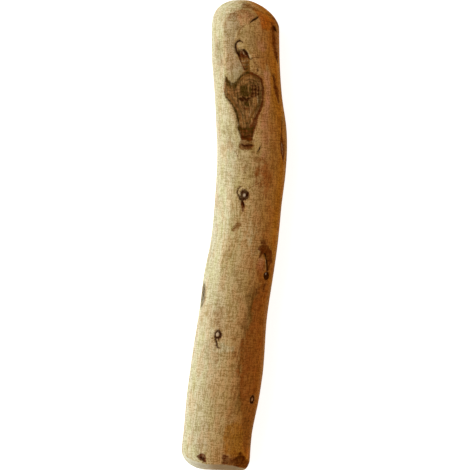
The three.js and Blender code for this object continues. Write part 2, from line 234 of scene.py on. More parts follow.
        (-2, 20, 0.3), (3.5, 20.9, 0.26), (10.5, 22, 0.24), (17, 22.9, 0.12))),
    "small nick": Stroke("bark", 0.5, 0.16, (
        (-25.5, -5.1, 0.16), (-24, -7.4, 0.14))),
    "third stain spot": Stroke("rot", 1, 0.1, (
        (30.5, -2.6, 0.6), (34.5, -2.5, 1), (37.5, -2.7, 0.6))),
    "streak above the third stain": Stroke("russet", 0.5, 0, (
        (27, 4.3, 0.2), (29.5, 2, 0.6), (34, -1.2, 0.6))),
    "light line by the third knot": Stroke("glint_and_pale_fibre", 0.5, 0, (
        (39.5, -8.4, 0.1), (43, -10.3, 0.24), (44.5, -12.2, 0.26), (44.5, -14.1, 0.12))),
    "third stain dot": Stroke("stain", 0.9, 0.06, (
        (26.5, -1.5, 0.4), (29, -1.6, 0.5))),
    "third stain foot": Stroke("rot", 0.9, 0.12, (
        (32, -6.7, 0.5), (31, -7.9, 0.5), (30.5, -8.8, 0.24))),
    "third knot line": Stroke("bark", 0.9, 0.32, (
        (39, -7.2, 0.5), (43, -8.7, 0.46), (46, -10.7, 0.5), (48, -12.4, 0.6), (49.5, -14.5, 0.5))),
    "third knot side line": Stroke("rot", 1, 0.26, (
        (48.5, -5.3, 0.9), (54, -6.9, 1), (56, -8.9, 1), (55.5, -10.6, 0.8), (53, -12.3, 0.5),
        (52, -14, 0.4))),
    "below the third knot": Stroke("rot", 0.62, 0.1, (
        (51, -18.5, 0.5), (50, -20.1, 0.8), (48.5, -21.8, 0.7), (51, -23.5, 0.4))),
    "smear below the third knot": Stroke("rot", 0.5, 0, (
        (37, -21.1, 0.4), (35, -22.8, 0.9), (34.5, -24.5, 0.6))),
    "fourth knot fork": Stroke("stain", 0.6, 0, (
        (-22, -47.7, 0.2), (-23.5, -48.5, 0.2))),
    "dark right of the butt": Stroke("rot", 0.8, 0, (
        (46.5, -96.2, 0.3), (58, -97.3, 0.6), (71.5, -98, 0.8), (77.5, -97.1, 0.4))),
    "fourth knot right side": Stroke("bark", 1, 0.4, (
        (-24.5, -41.1, 0.3), (-22, -41.1, 0.5), (-19, -41.9, 0.6), (-17, -42.7, 0.66),
        (-17.5, -43.6, 0.56), (-20, -44.1, 0.5), (-23.5, -44, 0.36), (-26, -44, 0.4))),
    "left knot smudge": Stroke("stain", 0.5, 0, (
        (-31.5, -43.9, 0.3), (-29.5, -46, 0.3))),
    "fourth knot tail": Stroke("bark", 0.95, 0.36, (
        (-26.5, -43.7, 0.36), (-25.5, -44.5, 0.5), (-23.5, -45.5, 0.4), (-22, -46.5, 0.36),
        (-21.5, -47.6, 0.36), (-19, -48.2, 0.26), (-15.5, -48.3, 0.14))),
    "fourth knot foot": Stroke("bark", 0.9, 0.2, (
        (-19.5, -43.9, 0.4), (-19.5, -45, 0.26))),
    "right streak by the tip": Stroke("rot", 0.88, 0.3, (
        (53, 90.3, 0.98), (56, 89.2, 2.15), (56, 87.2, 1.56), (57, 84.7, 1.56), (59, 81.7, 1.64),
        (62, 78.8, 1.76), (66, 76.5, 1.37), (69, 74.6, 0.39))),
    "black in the right streak": Stroke("bark", 1, 0.3, (
        (56, 89.6, 0.5), (62, 88.4, 0.8), (66, 87.6, 0.3))),
    "right streak by the scar": Stroke("rot", 1, 0.34, (
        (50, 68.7, 0.45), (52.5, 66.8, 0.9), (54.5, 64.7, 1.35), (57, 62.5, 1.5), (58, 60.1, 1.05),
        (59, 57.2, 0.3))),
    "right streak below the scar": Stroke("rot", 1, 0.34, (
        (64.5, 51.3, 0.27), (59.5, 47.1, 0.36), (57.5, 43.2, 0.56), (58, 40.7, 1.5), (60, 38.2, 1.7),
        (61.5, 36.1, 1.4), (62.5, 34.4, 0.8), (63.5, 32.7, 0.27))),
    "light fibres in the right streak": Stroke("glint_and_pale_fibre", 0.62, 0, (
        (58.5, 40.7, 0.16), (60, 38.6, 0.3), (61, 36.5, 0.24), (62.5, 35.2, 0.12))),
    # Painted shade along the rim of the tip, darkest on its right, with some dark stain in it
    "dark rim of the tip": Stroke("stain", 0.5, 0, (
        (-6, 98.8, 0.3), (10, 98.2, 0.4), (25, 96.7, 0.4), (42.5, 94.4, 0.5), (62.5, 92.2, 0.5))),
    "dark rim right of the tip": Stroke("rot", 0.62, 0, (
        (50, 94.9, 0.3), (62, 93.4, 0.7), (72, 91.8, 1), (80, 90.3, 1.3), (82, 88.6, 1.2), (82, 87, 0.5))),
    "small line by the third knot": Stroke("stain", 0.5, 0, (
        (14, -15.1, 0.14), (19, -15.1, 0.2))),
    # Grey knot wood on the left edge, with painted shade where its cut turns away from the light
    "left sliver": Stroke("weathered", 0.8, 0.3, (
        (-71.2, 69.9, 0.2), (-73.6, 67.6, 0.6), (-74.4, 65, 0.2))),
    "split on the far left": Stroke("bark", 0.8, 0.4, (
        (-127, -13, 0.2), (-128.6, -17, 0.4), (-127.6, -21, 0.3), (-129.4, -25, 0.08))),
    "split underneath": Stroke("bark", 0.7, 0.4, (
        (163, -6, 0.08), (166, 2, 0.3), (164.6, 10, 0.26), (167.4, 14, 0.1))),
    "far right split": Stroke("rot", 0.8, 0.3, (
        (112, -28, 0.1), (110, -38, 0.5), (111.4, -48, 0.7), (109, -57, 0.14))),
}

# Marks that fill an outline: the layer, its strength, how soft its edge is, how deep it lies, its outline
Patch = namedtuple("Patch", "paint strength softness depth outline")
PATCHES = {
    "eyelet pit": Patch("rot", 0.8, 0.5, 1, (
        (-11, 78.4), (-6.5, 78.9), (-2.5, 78.7), (1, 78.1), (4, 77), (5, 75.6), (-2, 75.3), (-8, 75.4),
        (-11.5, 76.5))),
    "eyelet throat": Patch("scar", 0.9, 0.5, 0.4, (
        (-11.5, 76.2), (-3.5, 75.9), (5, 75.9), (5.5, 74.6), (5, 72.9), (5, 71.4), (5.5, 69.9), (-2, 69.8),
        (-5, 71.7), (-7.5, 73.4), (-10, 74.9))),
    "scar": Patch("scar", 1, 0.8, 0.14, (
        (4.5, 69.6), (12, 68.5), (22, 67.6), (25, 65.2), (27, 62.2), (23, 58.4), (17.5, 53.8), (9.5, 50.1),
        (4, 46.3), (0.5, 41.1), (-5.5, 40.4), (-13, 40.5), (-17.5, 41.3), (-18.5, 44.2), (-19, 46.3),
        (-22, 51), (-26, 54), (-35, 57.1), (-43.5, 59.2), (-44, 63), (-36, 66.9), (-31.5, 64.2),
        (-27.5, 63.4), (-20, 64.5), (-13.5, 66.5), (-5.5, 68.1))),
    "greenish heart": Patch("char", 0.66, 0.5, 0.22, (
        (-11.5, 63.4), (-7, 63.9), (-0.5, 64), (5, 63.5), (6, 62.1), (5, 60.5), (1.5, 59.3), (-4.5, 58.8),
        (-10, 58.8), (-13, 59.5), (-15, 61.2), (-14, 62.5))),
    "reddish heart": Patch("rot", 0.42, 0.9, 0.14, (
        (5.5, 63.6), (11, 64.2), (18.5, 64.3), (21.5, 63), (20, 60.9), (14, 58.9), (6.5, 58.1), (3, 58.9),
        (4.5, 61.5))),
    "spot left": Patch("bark", 1, 0.45, 0.1, (
        (-17, 58.2), (-12, 58.5), (-9, 58), (-9.5, 56.9), (-14.5, 56.9))),
    "spot low": Patch("char", 0.8, 0.6, 0.1, (
        (-7.5, 56.6), (-1, 56.7), (1, 56.1), (0, 55.2), (-5.5, 55), (-8, 55.5))),
    "spot lowest": Patch("rot", 0.5, 0.7, 0.05, (
        (-9.5, 54.2), (-4, 54.6), (1.5, 54.5), (1.5, 53.7), (-4, 53.2), (-9.5, 53.5))),
    "gold in the scar": Patch("amber", 0.5, 1.1, 0, (
        (-14, 52.7), (-6, 53.5), (4, 53.1), (5, 51.2), (-1, 49.3), (-9.5, 48), (-14.5, 49.2))),
    "red in the scar": Patch("rosy", 0.76, 0.9, 0, (
        (-29.5, 61.3), (-21, 61.8), (-15.5, 60.8), (-17.5, 59), (-26, 58.7), (-31.5, 59.6))),
    "olive of the left lobe": Patch("char", 0.18, 0.8, 0.05, (
        (-42.5, 63.4), (-33.5, 62.8), (-31.5, 60.6), (-32.5, 58), (-39.5, 58.4), (-44, 60.4))),
    "horn": Patch("char", 0.8, 0.5, 0.1, (
        (-38, 67.3), (-35, 66), (-29.5, 65.5), (-26, 64.7), (-21.5, 64.5), (-17, 65.5), (-14, 64.8),
        (-19.5, 62.9), (-28.5, 62.2), (-37, 63), (-39.5, 65.1))),
    "crown shade": Patch("stain", 0.6, 0.7, 0.05, (
        (-12.5, 66.3), (-4.5, 68.3), (3.5, 69.3), (12, 68.9), (21, 68), (24.5, 66.4), (20, 65.8),
        (13, 66.7), (4.5, 67.2), (-2.5, 66.6), (-9, 65.5))),
    "shade left of the neck": Patch("char", 0.44, 0.9, 0.1, (
        (-20, 47.2), (-14, 47), (-4.5, 46.5), (-6.5, 45.4), (-18.5, 45.2))),
    "shade right of the neck": Patch("rot", 0.76, 0.9, 0.16, (
        (9, 51.1), (10.5, 50.3), (8, 48.2), (6, 46.2), (3, 45.6), (-1.5, 46.6), (1.5, 48.5), (5.5, 50.3))),
    "dark neck": Patch("rot", 0.8, 0.8, 0.2, (
        (-20.5, 46.4), (-13, 46), (-5, 46), (2, 46.9), (7, 46.7), (5.5, 44.8), (4, 43), (2, 41.1),
        (-4.5, 40.1), (-9.5, 40.5), (-15, 40), (-19, 41.1), (-18, 42.1), (-19.5, 43.4), (-19, 44),
        (-21, 44.9))),
    "gap under the neck": Patch("stain", 0.95, 0.8, 0, (
        (-17, 40.7), (3.5, 41.1), (3.5, 39.4), (-17.5, 38.9))),
    "patch under the neck": Patch("stain", 1, 0.8, 0.12, (
        (-21, 38.7), (-15.5, 39.6), (-5.5, 39.8), (4, 39.7), (3.5, 38.2), (0, 36.6), (-9, 36.2),
        (-17.5, 36.4), (-21, 37.4))),
    "brown spot": Patch("stain", 0.9, 1.1, 0.06, (
        (-25, 2), (-21, 3.9), (-16, 5.2), (-10, 5.2), (-9.5, 3.7), (-14.5, 2.3), (-20, 1.5))),
    "dark of the neck": Patch("char", 0.5, 0.9, 0, (
        (-19.5, 44.9), (-8, 44.6), (4, 45), (3, 42.2), (-4, 41.2), (-18, 41.6))),
    "dark of the patch": Patch("rot", 0.55, 0.8, 0, (
        (-18, 38.6), (-5, 39.2), (2, 39), (-0.5, 37), (-9, 36.7), (-17, 37))),
    "second knot foot": Patch("rot", 0.9, 0.5, 0.3, (
        (-12.5, 14.7), (-9, 14.5), (-6, 13.3), (-5.5, 11.9), (-6.5, 10.2), (-8.5, 10.1), (-11, 11.8),
        (-13, 13.5))),
    "second knot disc": Patch("bark", 0.74, 0.8, 0.3, (
        (-10, 19.8), (-4.5, 19.3), (-0.5, 18), (0, 16.5), (-3, 15.1), (-8, 14.9), (-13, 16), (-14.5, 17.9),
        (-13.5, 19.3))),
    "third knot stain": Patch("rot", 0.9, 0.7, 0.1, (
        (23.5, -5.3), (27, -4.1), (35.5, -3.3), (44, -3.6), (51.5, -5.1), (56, -6.7), (57, -8.6),
        (56, -10.8), (52.5, -11.5), (48, -10.1), (44, -8.4), (39, -7.7), (33.5, -8.1), (30.5, -8.6),
        (29.5, -7.2), (30, -6.3), (25.5, -6))),
    "between the third knot's lines": Patch("rot", 0.5, 0.7, 0.05, (
        (42.5, -8.1), (54, -8), (55, -10.9), (52.5, -13.2), (48, -12.4))),
    "third knot pit": Patch("bark", 1, 0.5, 0.5, (
        (43, -15.8), (46, -15), (52, -14.9), (56.5, -15.8), (58, -17), (54.5, -18.1), (49, -18.3),
        (44.5, -17.3))),
    "reddish ribs by the third knot": Patch("rosy", 0.75, 1.2, 0, (
        (27.5, -9.2), (35, -8.5), (41.5, -10.7), (42.5, -14.1), (36.5, -15.2), (28.5, -13.4),
        (26.5, -10.9))),
    "butt stain left": Patch("rot", 0.9, 0.7, 0.2, (
        (-34.5, -95), (-29.5, -93.8), (-22.5, -93.4), (-18, -93.9), (-16, -95.3), (-16, -96.8),
        (-21.5, -97.2), (-28, -96.6), (-32.5, -96))),
    "dark of the left stain": Patch("bark", 0.7, 0.6, 0.1, (
        (-30.5, -95.1), (-26, -94.5), (-20.5, -95), (-18.5, -95.9), (-20.5, -96.7), (-26.5, -96.1))),
    "butt stain right": Patch("rot", 0.76, 0.9, 0.2, (
        (10, -93.8), (15, -93), (21.5, -93.6), (26, -94.7), (34, -94.5), (38.5, -93.3), (43, -91.7),
        (52, -92.9), (62, -94.9), (90, -96.6), (90, -98.7), (62, -99), (46, -98.7), (34, -98.1),
        (22.5, -97.8), (13.5, -97.4), (10.5, -95.5))),
    "black of the right stain": Patch("bark", 0.4, 0.9, 0.1, (
        (24.5, -95.1), (32, -94.5), (38.5, -93.6), (47, -92.5), (54.5, -93.6), (58, -95.3), (47, -97.4),
        (35, -97.2), (27, -97.4))),
    "orange rim of the butt": Patch("orange", 0.5, 0.9, 0, (
        (59, -89.8), (76.5, -89.8), (90, -96.3), (70, -95.6), (61.5, -93.2))),
    "amber corner": Patch("amber", 0.96, 2, 0, (
        (9, -83.3), (13, -81), (23, -79.5), (37, -80.1), (44, -85.1), (46, -91.1), (41, -94.1),
        (21.5, -93.5), (11, -90.6))),
    "grey by the butt": Patch("weathered", 0.4, 1.2, 0, (
        (-54, -82.2), (-40.5, -78.6), (-22.5, -79.2), (-13, -87.6), (-14.5, -94), (-30.5, -94.3),
        (-45, -91.5))),
    "orange by the tip": Patch("orange", 1, 1.3, 0, (
        (16.5, 96.2), (26.5, 96.4), (38.5, 95), (51.5, 93.1), (61, 90.9), (50, 89.2), (39, 87.4),
        (30.5, 88.9), (27.5, 91.9), (21, 94.3))),
    "brown crown": Patch("stain", 0.95, 0.9, 0.05, (
        (-10.5, 98.7), (-0.5, 98.7), (11, 98), (21.5, 96.7), (30, 95.2), (20.5, 95.4), (7, 96), (-3, 96.1),
        (-10, 96.5))),
    "brown under the crown": Patch("stain", 0.5, 1.2, 0, (
        (-32.5, 94), (-17.5, 96.3), (7, 96.2), (22, 93.9), (11.5, 92), (-13, 92.1), (-30, 91.5))),
    "pink by the tip": Patch("rosy", 0.8, 1, 0, (
        (-11, 95.4), (0, 95.8), (6, 94.8), (4, 93), (-7, 92.8))),
    "pinkish tan by the tip": Patch("rosy", 0.68, 1.5, 0, (
        (-12, 94.7), (14.5, 94.8), (18.5, 92.4), (8, 90.3), (-4, 88.7), (-11, 90.4))),
    "tan above the eyelet": Patch("shade", 0.42, 2.2, 0, (
        (-23.5, 89.4), (-5.5, 89.2), (12, 86.9), (28.5, 83.4), (21, 79), (1.5, 80.4), (-14.5, 82.3),
        (-25.5, 85.2))),
    "red brown right of the tip": Patch("russet", 0.8, 1.3, 0, (
        (52.5, 92.5), (68.5, 92.3), (90, 89.3), (90, 82.5), (90, 74.8), (70.5, 75.5), (62.5, 79.6),
        (58, 84.7), (55, 89.3))),
    "pink beside the scar": Patch("rosy", 0.95, 1.3, 0, (
        (30, 70.3), (40.5, 69.6), (41, 63.3), (35.5, 56.5), (27.5, 50.4), (22.5, 45.3), (15.5, 46),
        (19.5, 51.1), (26, 56.3), (31, 62.3), (29.5, 66.5))),
    "pink by the eyelet": Patch("rosy", 0.5, 1.3, 0, (
        (18, 83.2), (28.5, 83.7), (37, 82.3), (37.5, 79.3), (30.5, 78.1), (21.5, 79), (18, 80.9))),
    "weathered panel": Patch("weathered", 0.9, 0.6, 0.05, (
        (-39, 90.1), (-26.5, 94.5), (-12, 93), (-11, 88.7), (-15.5, 85.3), (-17.5, 81.9), (-15.5, 76.8),
        (-10.5, 73.5), (-3, 70.4), (-10.5, 67.7), (-18.5, 65.8), (-25.5, 64.4), (-32.5, 64.6), (-36, 66.9),
        (-34.5, 71.5), (-34, 76.6), (-37.5, 82.5))),
    "shade left of the panel": Patch("shade", 0.42, 1.4, 0, (
        (-61.5, 81.5), (-44.5, 82.4), (-39.5, 77.4), (-43.5, 71.4), (-61, 71.3), (-65, 76.4))),
    "red wood": Patch("russet", 1, 1.7, 0, (
        (49, -18.4), (39.5, -21), (34.5, -25.4), (31.5, -29.7), (32.5, -35.6), (27.5, -40), (23, -45.2),
        (20.5, -51.2), (22, -58), (26.5, -66.5), (33, -74.1), (38, -79.2), (46.5, -86.8), (52.5, -91.9),
        (90, -93.7), (90, -81.7), (90, -63.2), (90, -39.6), (90, -25.1), (63, -20))),
    "russet above the red wood": Patch("russet", 0.62, 1.8, 0, (
        (26.5, -11.8), (39, -9.5), (65.5, -10.5), (90, -15.6), (59.5, -20), (32, -19.4))),
    "russet left of the red wood": Patch("russet", 0.5, 1.6, 0, (
        (12.5, -43.2), (22.5, -42.6), (27.5, -49.4), (26.5, -57), (23.5, -62.2), (14, -58.9), (10, -52.2),
        (10.5, -46.6))),
    "shade left of the red wood": Patch("shade", 0.42, 3, 0, (
        (14.5, -21.3), (29, -21.1), (40, -27), (38, -33.9), (33, -40.8), (28, -46.8), (18, -48.6),
        (14, -42.7), (16, -35.9), (14.5, -29.1))),
    "olive by the red wood": Patch("olive", 0.7, 2.4, 0, (
        (24.5, -20.3), (38.5, -22.7), (44.5, -27), (41.5, -32.1), (39.5, -36.4), (33.5, -41.6),
        (30, -46.8), (28, -51.9), (26.5, -57.9), (30, -66.4), (36, -71), (34.5, -75), (23, -74.6),
        (17, -70.9), (18, -66.6), (14, -58.1), (11.5, -51.3),
        (12.5, -45.7), (15.5, -40.6), (17.5, -35.4), (17.5, -29.9), (19, -25.1), (20.5, -22.1))),
    # The left notch: dark grey knot wood, with painted shade where its cut turns away from the light
    "left notch": Patch("char", 0.64, 0.9, 0.3, (
        (-84, -21), (-78, -21.2), (-71.5, -23), (-66.5, -25.6), (-66, -28), (-69.5, -30), (-74.5, -31.6),
        (-84, -31.4), (-92, -29), (-94, -26), (-91, -23))),
    "greyed wood in the left notch": Patch("weathered", 1, 1.1, 0, (
        (-84, -20), (-77, -20.2), (-68, -22.4), (-62.5, -25.6), (-62.5, -29), (-66.5, -31.2), (-73, -32.8),
        (-84, -32.4), (-94, -29.6), (-96, -26), (-93, -22.4))),
    "dark in the red wood by the butt": Patch("stain", 0.52, 1.8, 0, (
        (32.5, -74.5), (43, -72.3), (73, -71.7), (90, -82.5), (90, -89.4), (54.5, -90.7), (41.5, -86.9),
        (35, -80.5))),
    "pale by the third knot": Patch("pale", 0.3, 3, 0, (
        (-7, 7.8), (12, 8.1), (25, 0.2), (31, -6.1), (18, -10.2), (7.5, -6.9), (-6.5, -0.3))),
    "green by the eyelet": Patch("green", 0.34, 2, 0, (
        (21, 76.1), (43.5, 76.8), (44.5, 68.4), (19.5, 67.2))),
    "pale low on the left": Patch("pale", 0.34, 6, 0, (
        (-100, -10), (-56, -12), (-50, -30), (-50, -60), (-56, -84), (-100, -84))),
    "dark in the red wood": Patch("russet", 1, 1.2, 0, (
        (22.5, -46), (30.5, -43.4), (43, -48.3), (44, -56), (30.5, -58.7), (21.5, -53.7))),
    "stain in the red wood's top": Patch("stain", 0.42, 1.1, 0, (
        (22.5, -22.1), (32, -19.4), (48.5, -20.5), (58, -24.3), (44.5, -27), (29, -26.3))),
    "red patch": Patch("russet", 0.46, 1.7, 0, (
        (9, 33.2), (19, 33.8), (31, 31.4), (40.5, 28.1), (41, 24.3), (35, 20), (30.5, 16.5), (19, 16.8),
        (9, 19.6), (2.5, 22.9), (0.5, 26.7), (4, 30.2))),
    "dark of the red patch": Patch("russet", 0.64, 1.6, 0, (
        (16.5, 30.4), (25.5, 30.9), (36, 28.5), (36.5, 25.1), (32.5, 21.6), (23, 20.7), (17, 23.5),
        (14, 27.3))),
    "pink above the red patch": Patch("rosy", 0.55, 1.2, 0, (
        (17, 46.5), (27, 46.6), (29.5, 42), (30.5, 36.9), (25, 33), (16, 33.3), (13.5, 38.8))),
    # The scraped flat faces the light from the left: its pale paint is partly painted light, and the
    # greenish straw right of its edge is partly painted shade.
    "pale flat": Patch("pale", 0.7, 0.9, 0, (
        (-47.5, 35.9), (-27.5, 35.2), (-27, 30.1), (-30.5, 23.3), (-31.5, 16.5), (-32, 9.6), (-34, 2.8),
        (-36, -2.3), (-40, -6.7), (-44, -11), (-49, -15.4), (-63, -14.7), (-64, -2.7), (-68.5, 14.4),
        (-69.5, 31.5))),
    "shade beside the pale flat": Patch("shade", 0.3, 2, 0, (
        (-50, 51.1), (-32.5, 49.6), (-24, 42.5), (-22.5, 31.9), (-21, 22.6), (-31, 18.2), (-47, 18.8),
        (-54.5, 27.3), (-47.5, 35.9), (-57, 44.3))),
    "green by the flat": Patch("green", 0.6, 0.9, 0, (
        (-23, 25.1), (-17.5, 22.6), (-21.5, 16.6), (-14.5, 9.9), (-8.5, 3.1), (-4.5, -4.5), (-9.5, -9.7),
        (-21.5, -13.3), (-37.5, -14.4), (-41, -9.3), (-36, -4.9), (-32.5, 1.1), (-31, 9.6), (-29, 16.5),
        (-27, 22.5))),
    "halo of the fourth knot": Patch("pale", 0.6, 1, 0, (
        (-27.5, -45.9), (-17, -45.3), (-6, -46.9), (7.5, -47.5), (6.5, -49.7), (-11, -50.4),
        (-32.5, -50.3), (-34, -48.2))),
    "shade above the fourth knot": Patch("shade", 0.5, 1.3, 0, (
        (-37.5, -29.4), (-28.5, -27.6), (-19.5, -30), (-15.5, -34.2), (-14, -38.5), (-19, -40.7),
        (-28, -39.5), (-36, -34.9))),
    "shade below the fourth knot": Patch("shade", 0.36, 2.4, 0, (
        (-46, -46.2), (-13, -45.7), (1, -48), (-3, -54.9), (-38, -54.6))),
    "shade above the fourth knot's right": Patch("shade", 0.26, 2.4, 0, (
        (-19.5, -14.1), (0.5, -13), (16.5, -23.9), (24, -34), (13.5, -34.2), (-7.5, -24.2))),
    "shade right of the fourth knot": Patch("shade", 0.32, 2, 0, (
        (0.5, -42.5), (14, -42.3), (19.5, -58), (5, -58.2))),
    "shade above the left stain": Patch("shade", 0.22, 3, 0, (
        (-39, -65.8), (-14.5, -64.5), (-5, -75.5), (-29, -76.7))),
    "greyed line left of the fourth knot": Patch("weathered", 0.5, 0.8, 0, (
        (-46.5, -29.5), (-42, -29), (-37, -35), (-32.5, -42.2), (-38, -42.7), (-44, -35.9))),
    "tan above the scar": Patch("amber", 0.25, 1.3, 0, (
        (8, 74.6), (22.5, 75.2), (27, 72.4), (24, 68.9), (13, 69.2), (5.5, 70.3))),
    "tan under the neck": Patch("shade", 0.4, 2.2, 0, (
        (-32, 38.6), (-14, 37.1), (1, 37.7), (14.5, 35.8), (18.5, 30.8), (18.5, 24), (7, 21.3),
        (-5.5, 24.5), (-18.5, 28.5), (-28.5, 33.9))),
    # Painted light: the upper left of the tip is made paler, as if lit more strongly
    "pale tip": Patch("pale", 0.6, 1.5, 0, (
        (-60, 96), (-44, 97.6), (-20, 99), (0, 99), (-4, 97), (-20, 95), (-38, 92), (-42, 84), (-62, 84))),
    "red wood round the side": Patch("russet", 0.9, 2.3, 0, (
        (60, -26), (88, -34), (100, -50), (96, -68), (80, -80), (60, -84))),
}

# Bud knots: where each is, the radius of its sunk ring and half the ring's width, how oval, deep and dark
# the ring is, and the radius of the pale stub in it, with its painted highlight, and how pale that is. A
# knot swells into a low dome
Knot = namedtuple("Knot", "angle along ring width oval depth tone stub pale")
KNOTS = (
    Knot(-8.2, 17.1, 1.34, 0.74, 1.15, 0.5, 1, 0.5, 1),
    Knot(48.6, -15.7, 0.30, 0.24, 1.5, 0.2, 1, 0.28, 0.8),
    Knot(-22.5, -42.6, 1.1, 0.40, 1.2, 0.42, 0.9, 0.52, 1),
    Knot(51.9, -69.4, 0.86, 0.46, 1.7, 0.4, 1, 0.3, 0.3),
    Knot(168, 15, 1.2, 0.36, 1.1, 0.4, 0.9, 0.5, 0.8),
    Knot(-126, -13, 1.5, 0.44, 1.1, 0.45, 1, 0.7, 0.9),
    Knot(155, -45, 1.1, 0.34, 1.15, 0.4, 0.9, 0.5, 0.8),
    Knot(-128, -72, 1.3, 0.36, 1.1, 0.4, 0.95, 0.6, 1),
    Knot(118, 44, 1.4, 0.4, 1.15, 0.45, 1, 0.6, 0.7),
)
EYELET_NUB = Knot(-10.9, 81.1, 0.50, 0.2, 1.1, 0.2, 0, 0.5, 0.45)
RING_POINTS = 14
KNOT_RISE = 0.16
KNOT_DOME = 0.6
STUB_SOFTNESS = 0.25

# How marks are worked out: the steps of a course from each of its places to the next, how many half
# widths a stroke reaches, its least half width, how far outside a patch's outline and the scar's is looked
# at, how wide the browned wood beside the lines is, and which paints have it
COURSE_STEPS = 5
STROKE_REACH = 2.8
THINNEST_STROKE = 0.02
OUTLINE_MARGIN = 0.5
INSET_REACH = 1
HALO_WIDTH = 0.5
HALO_PAINTS = ("bark", "char", "rot")

# Where the sawn face of the butt gives way to skin, going round from underneath: degrees and along
SAWN_EDGE = (
    (-180, -97.6), (-120, -95.4), (-90, -94.6), (-68, -94.9), (-43, -96.9), (-17, -97.7),
    (12, -97.6), (30, -97.8), (48, -98.5), (90, -99.2), (135, -99), (180, -97.6),
)
SAWN_SOFTNESS = 0.35
SAWN_WANDER = 0.4

# Uneven wood: how high each kind stands, how many swings it has to a millimetre round and along, and its
# seed. The wobbles make the marks' outlines uneven, and are read again, this far off, for the way along
Figure = namedtuple("Figure", "height round along seed")
FIGURES = (
    Figure(0.14, 0.16, 0.05, 11.0),
    Figure(0.05, 0.85, 0.10, 23.0),
    Figure(0.025, 0.30, 0.95, 37.0),
)
SCAR_FIGURE = Figure(0.10, 2.2, 0.35, 51.0)
WOBBLES = (Figure(0.14, 0.9, 0.9, 5.0), Figure(0.10, 0.28, 0.28, 71.0))
SECOND_WOBBLE = 17.0

# Between these heights above the floor the unevenness sets in, so the stick still rests on its flats. A
# vertex that would move by less than the least weight, as a share of the most, stays where it is
REST_HEIGHT = (0.15, 1.2)
LEAST_WEIGHT = 0.002

# The mesh is made finer this far round a line or knot, and half as far round a patch cut this deep
FINE_MARGIN = 0.7
FINE_DEPTH = 0.06
FINE_COVER = 0.5
FINE_SOFTNESS = 0.3

# The layers that the marks are painted on. The scar's inset is how far inside its outline a place lies
PAINTS = (
    "bark", "halo", "scar", "inset", "char", "rot", "stain", "amber", "orange", "russet", "rosy",
    "weathered", "olive", "green", "shade", "pale", "glint_and_pale_fibre", "stub", "sawn",
)

# Textures of the wood: their swings to a millimetre across, along and up, and how fine they are
Texture = namedtuple("Texture", "swings detail roughness distortion", defaults=(0.5, 0.0))
TEXTURES = {
    "broad wander": Texture((0.07, 0.022, 0.07), 2),
    "patchy wander": Texture((0.30, 0.10, 0.30), 3),
    "coloured clouds": Texture((0.24, 0.10, 0.24), 3, 0.6),
    "veins": Texture((0.75, 0.05, 0.75), 3, 0.55, 0.3),
    "scar wander": Texture((0.5, 0.3, 0.5), 2),
    "mottle": Texture((0.55, 0.30, 0.55), 2, 0.6),
    "fibres": Texture((1.9, 0.28, 1.9), 1),
    "ripples": Texture((0.30, 1.9, 0.30), 1),
    "grains": Texture((2.1, 2.1, 2.1), 1),
    "ring wander": Texture((0.19, 0.19, 0.19), 3),
    "ring strength": Texture((0.3, 0.3, 0.3), 1),
    "saw cuts": Texture((0.25, 3.5, 4.0), 1),
    "raised fibres": Texture((2.6, 0.30, 2.6), 3, 0.6),
    "raised ripples": Texture((0.8, 2.6, 0.8), 2),
}

# Textures that wear the marks away at their edges and in their middles
WEAR = {
    "clouds": Texture((0.5, 0.22, 0.5), 3, 0.62),
    "blotches": Texture((0.62, 0.45, 0.62), 3, 0.62),
    "crumbs": Texture((1.3, 1.0, 1.3), 3, 0.62),
    "streaks": Texture((1.15, 0.18, 1.15), 3, 0.62),
    "bars": Texture((0.28, 0.85, 0.28), 3, 0.62),
}
WEAR_SPAN = (0.33, 0.67)

# Layers of paint, from the lowest up: how fully each may cover, the texture that wears it, how far that
# eats in, and how thin its thin places are. Soft tints come first, then the dark and the bright marks
Layer = namedtuple("Layer", "most wear reach thin")
TINTS = {
    "pale": Layer(0.7, "clouds", 0.45, 0.15),
    "weathered": Layer(0.85, "clouds", 0.6, 0.3),
    "green": Layer(0.7, "clouds", 0.5, 0.2),
    "shade": Layer(1.0, "clouds", 0.3, 0.3),
    "olive": Layer(0.8, "clouds", 0.5, 0.3),
    "rosy": Layer(0.8, "clouds", 0.5, 0.3),
    "russet": Layer(0.95, "clouds", 0.8, 0.3),
    "orange": Layer(0.9, "clouds", 0.7, 0.3),
    "amber": Layer(0.9, "clouds", 0.7, 0.3),
    "halo": Layer(0.55, "crumbs", 0.8, 0.3),
}
DARK_AND_BRIGHT = {
    "stain": Layer(0.85, "crumbs", 0.6, 0.3),
    "rot": Layer(0.98, "bars", 0.6, 0.25),
    "char": Layer(0.98, "streaks", 0.7, 0.3),
    "bark": Layer(1.0, "crumbs", 0.4, 0.15),
    # Painted highlights, and the pale fibres and flecks of the wood
    "glint_and_pale_fibre": Layer(0.9, "crumbs", 0.4, 0.2),
}
SCAR_WEAR = 0.6
SCAR_MOST = 0.95
SAWN_WEAR = 0.5

# How far the wood's colours wander round the skin, as a share of a whole turn
WANDER = {"broad wander": 0.09, "patchy wander": 0.036}

# Painted shade on the right flank and painted light on the left flank where each turns under: where it
# starts and is full, as the sine of the turn, and how strong it is
RIM_LIGHT_AND_SHADE = {"right_rim_shade": (0.86, 1.0, 0.55), "left_rim_light": (-0.88, -1.0, 0.6)}

# Tints that the colour is multiplied by: the texture that places them, where in it they start and are
# full, and how strong they are
Overlay = namedtuple("Overlay", "texture start full strength")
OVERLAYS = {
    "rosy_tint": Overlay("coloured clouds", 0.48, 0.62, 0.68),
    "green_tint": Overlay("coloured clouds", 0.50, 0.36, 0.5),
    "vein_tint": Overlay("veins", 0.50, 0.64, 0.5),
}

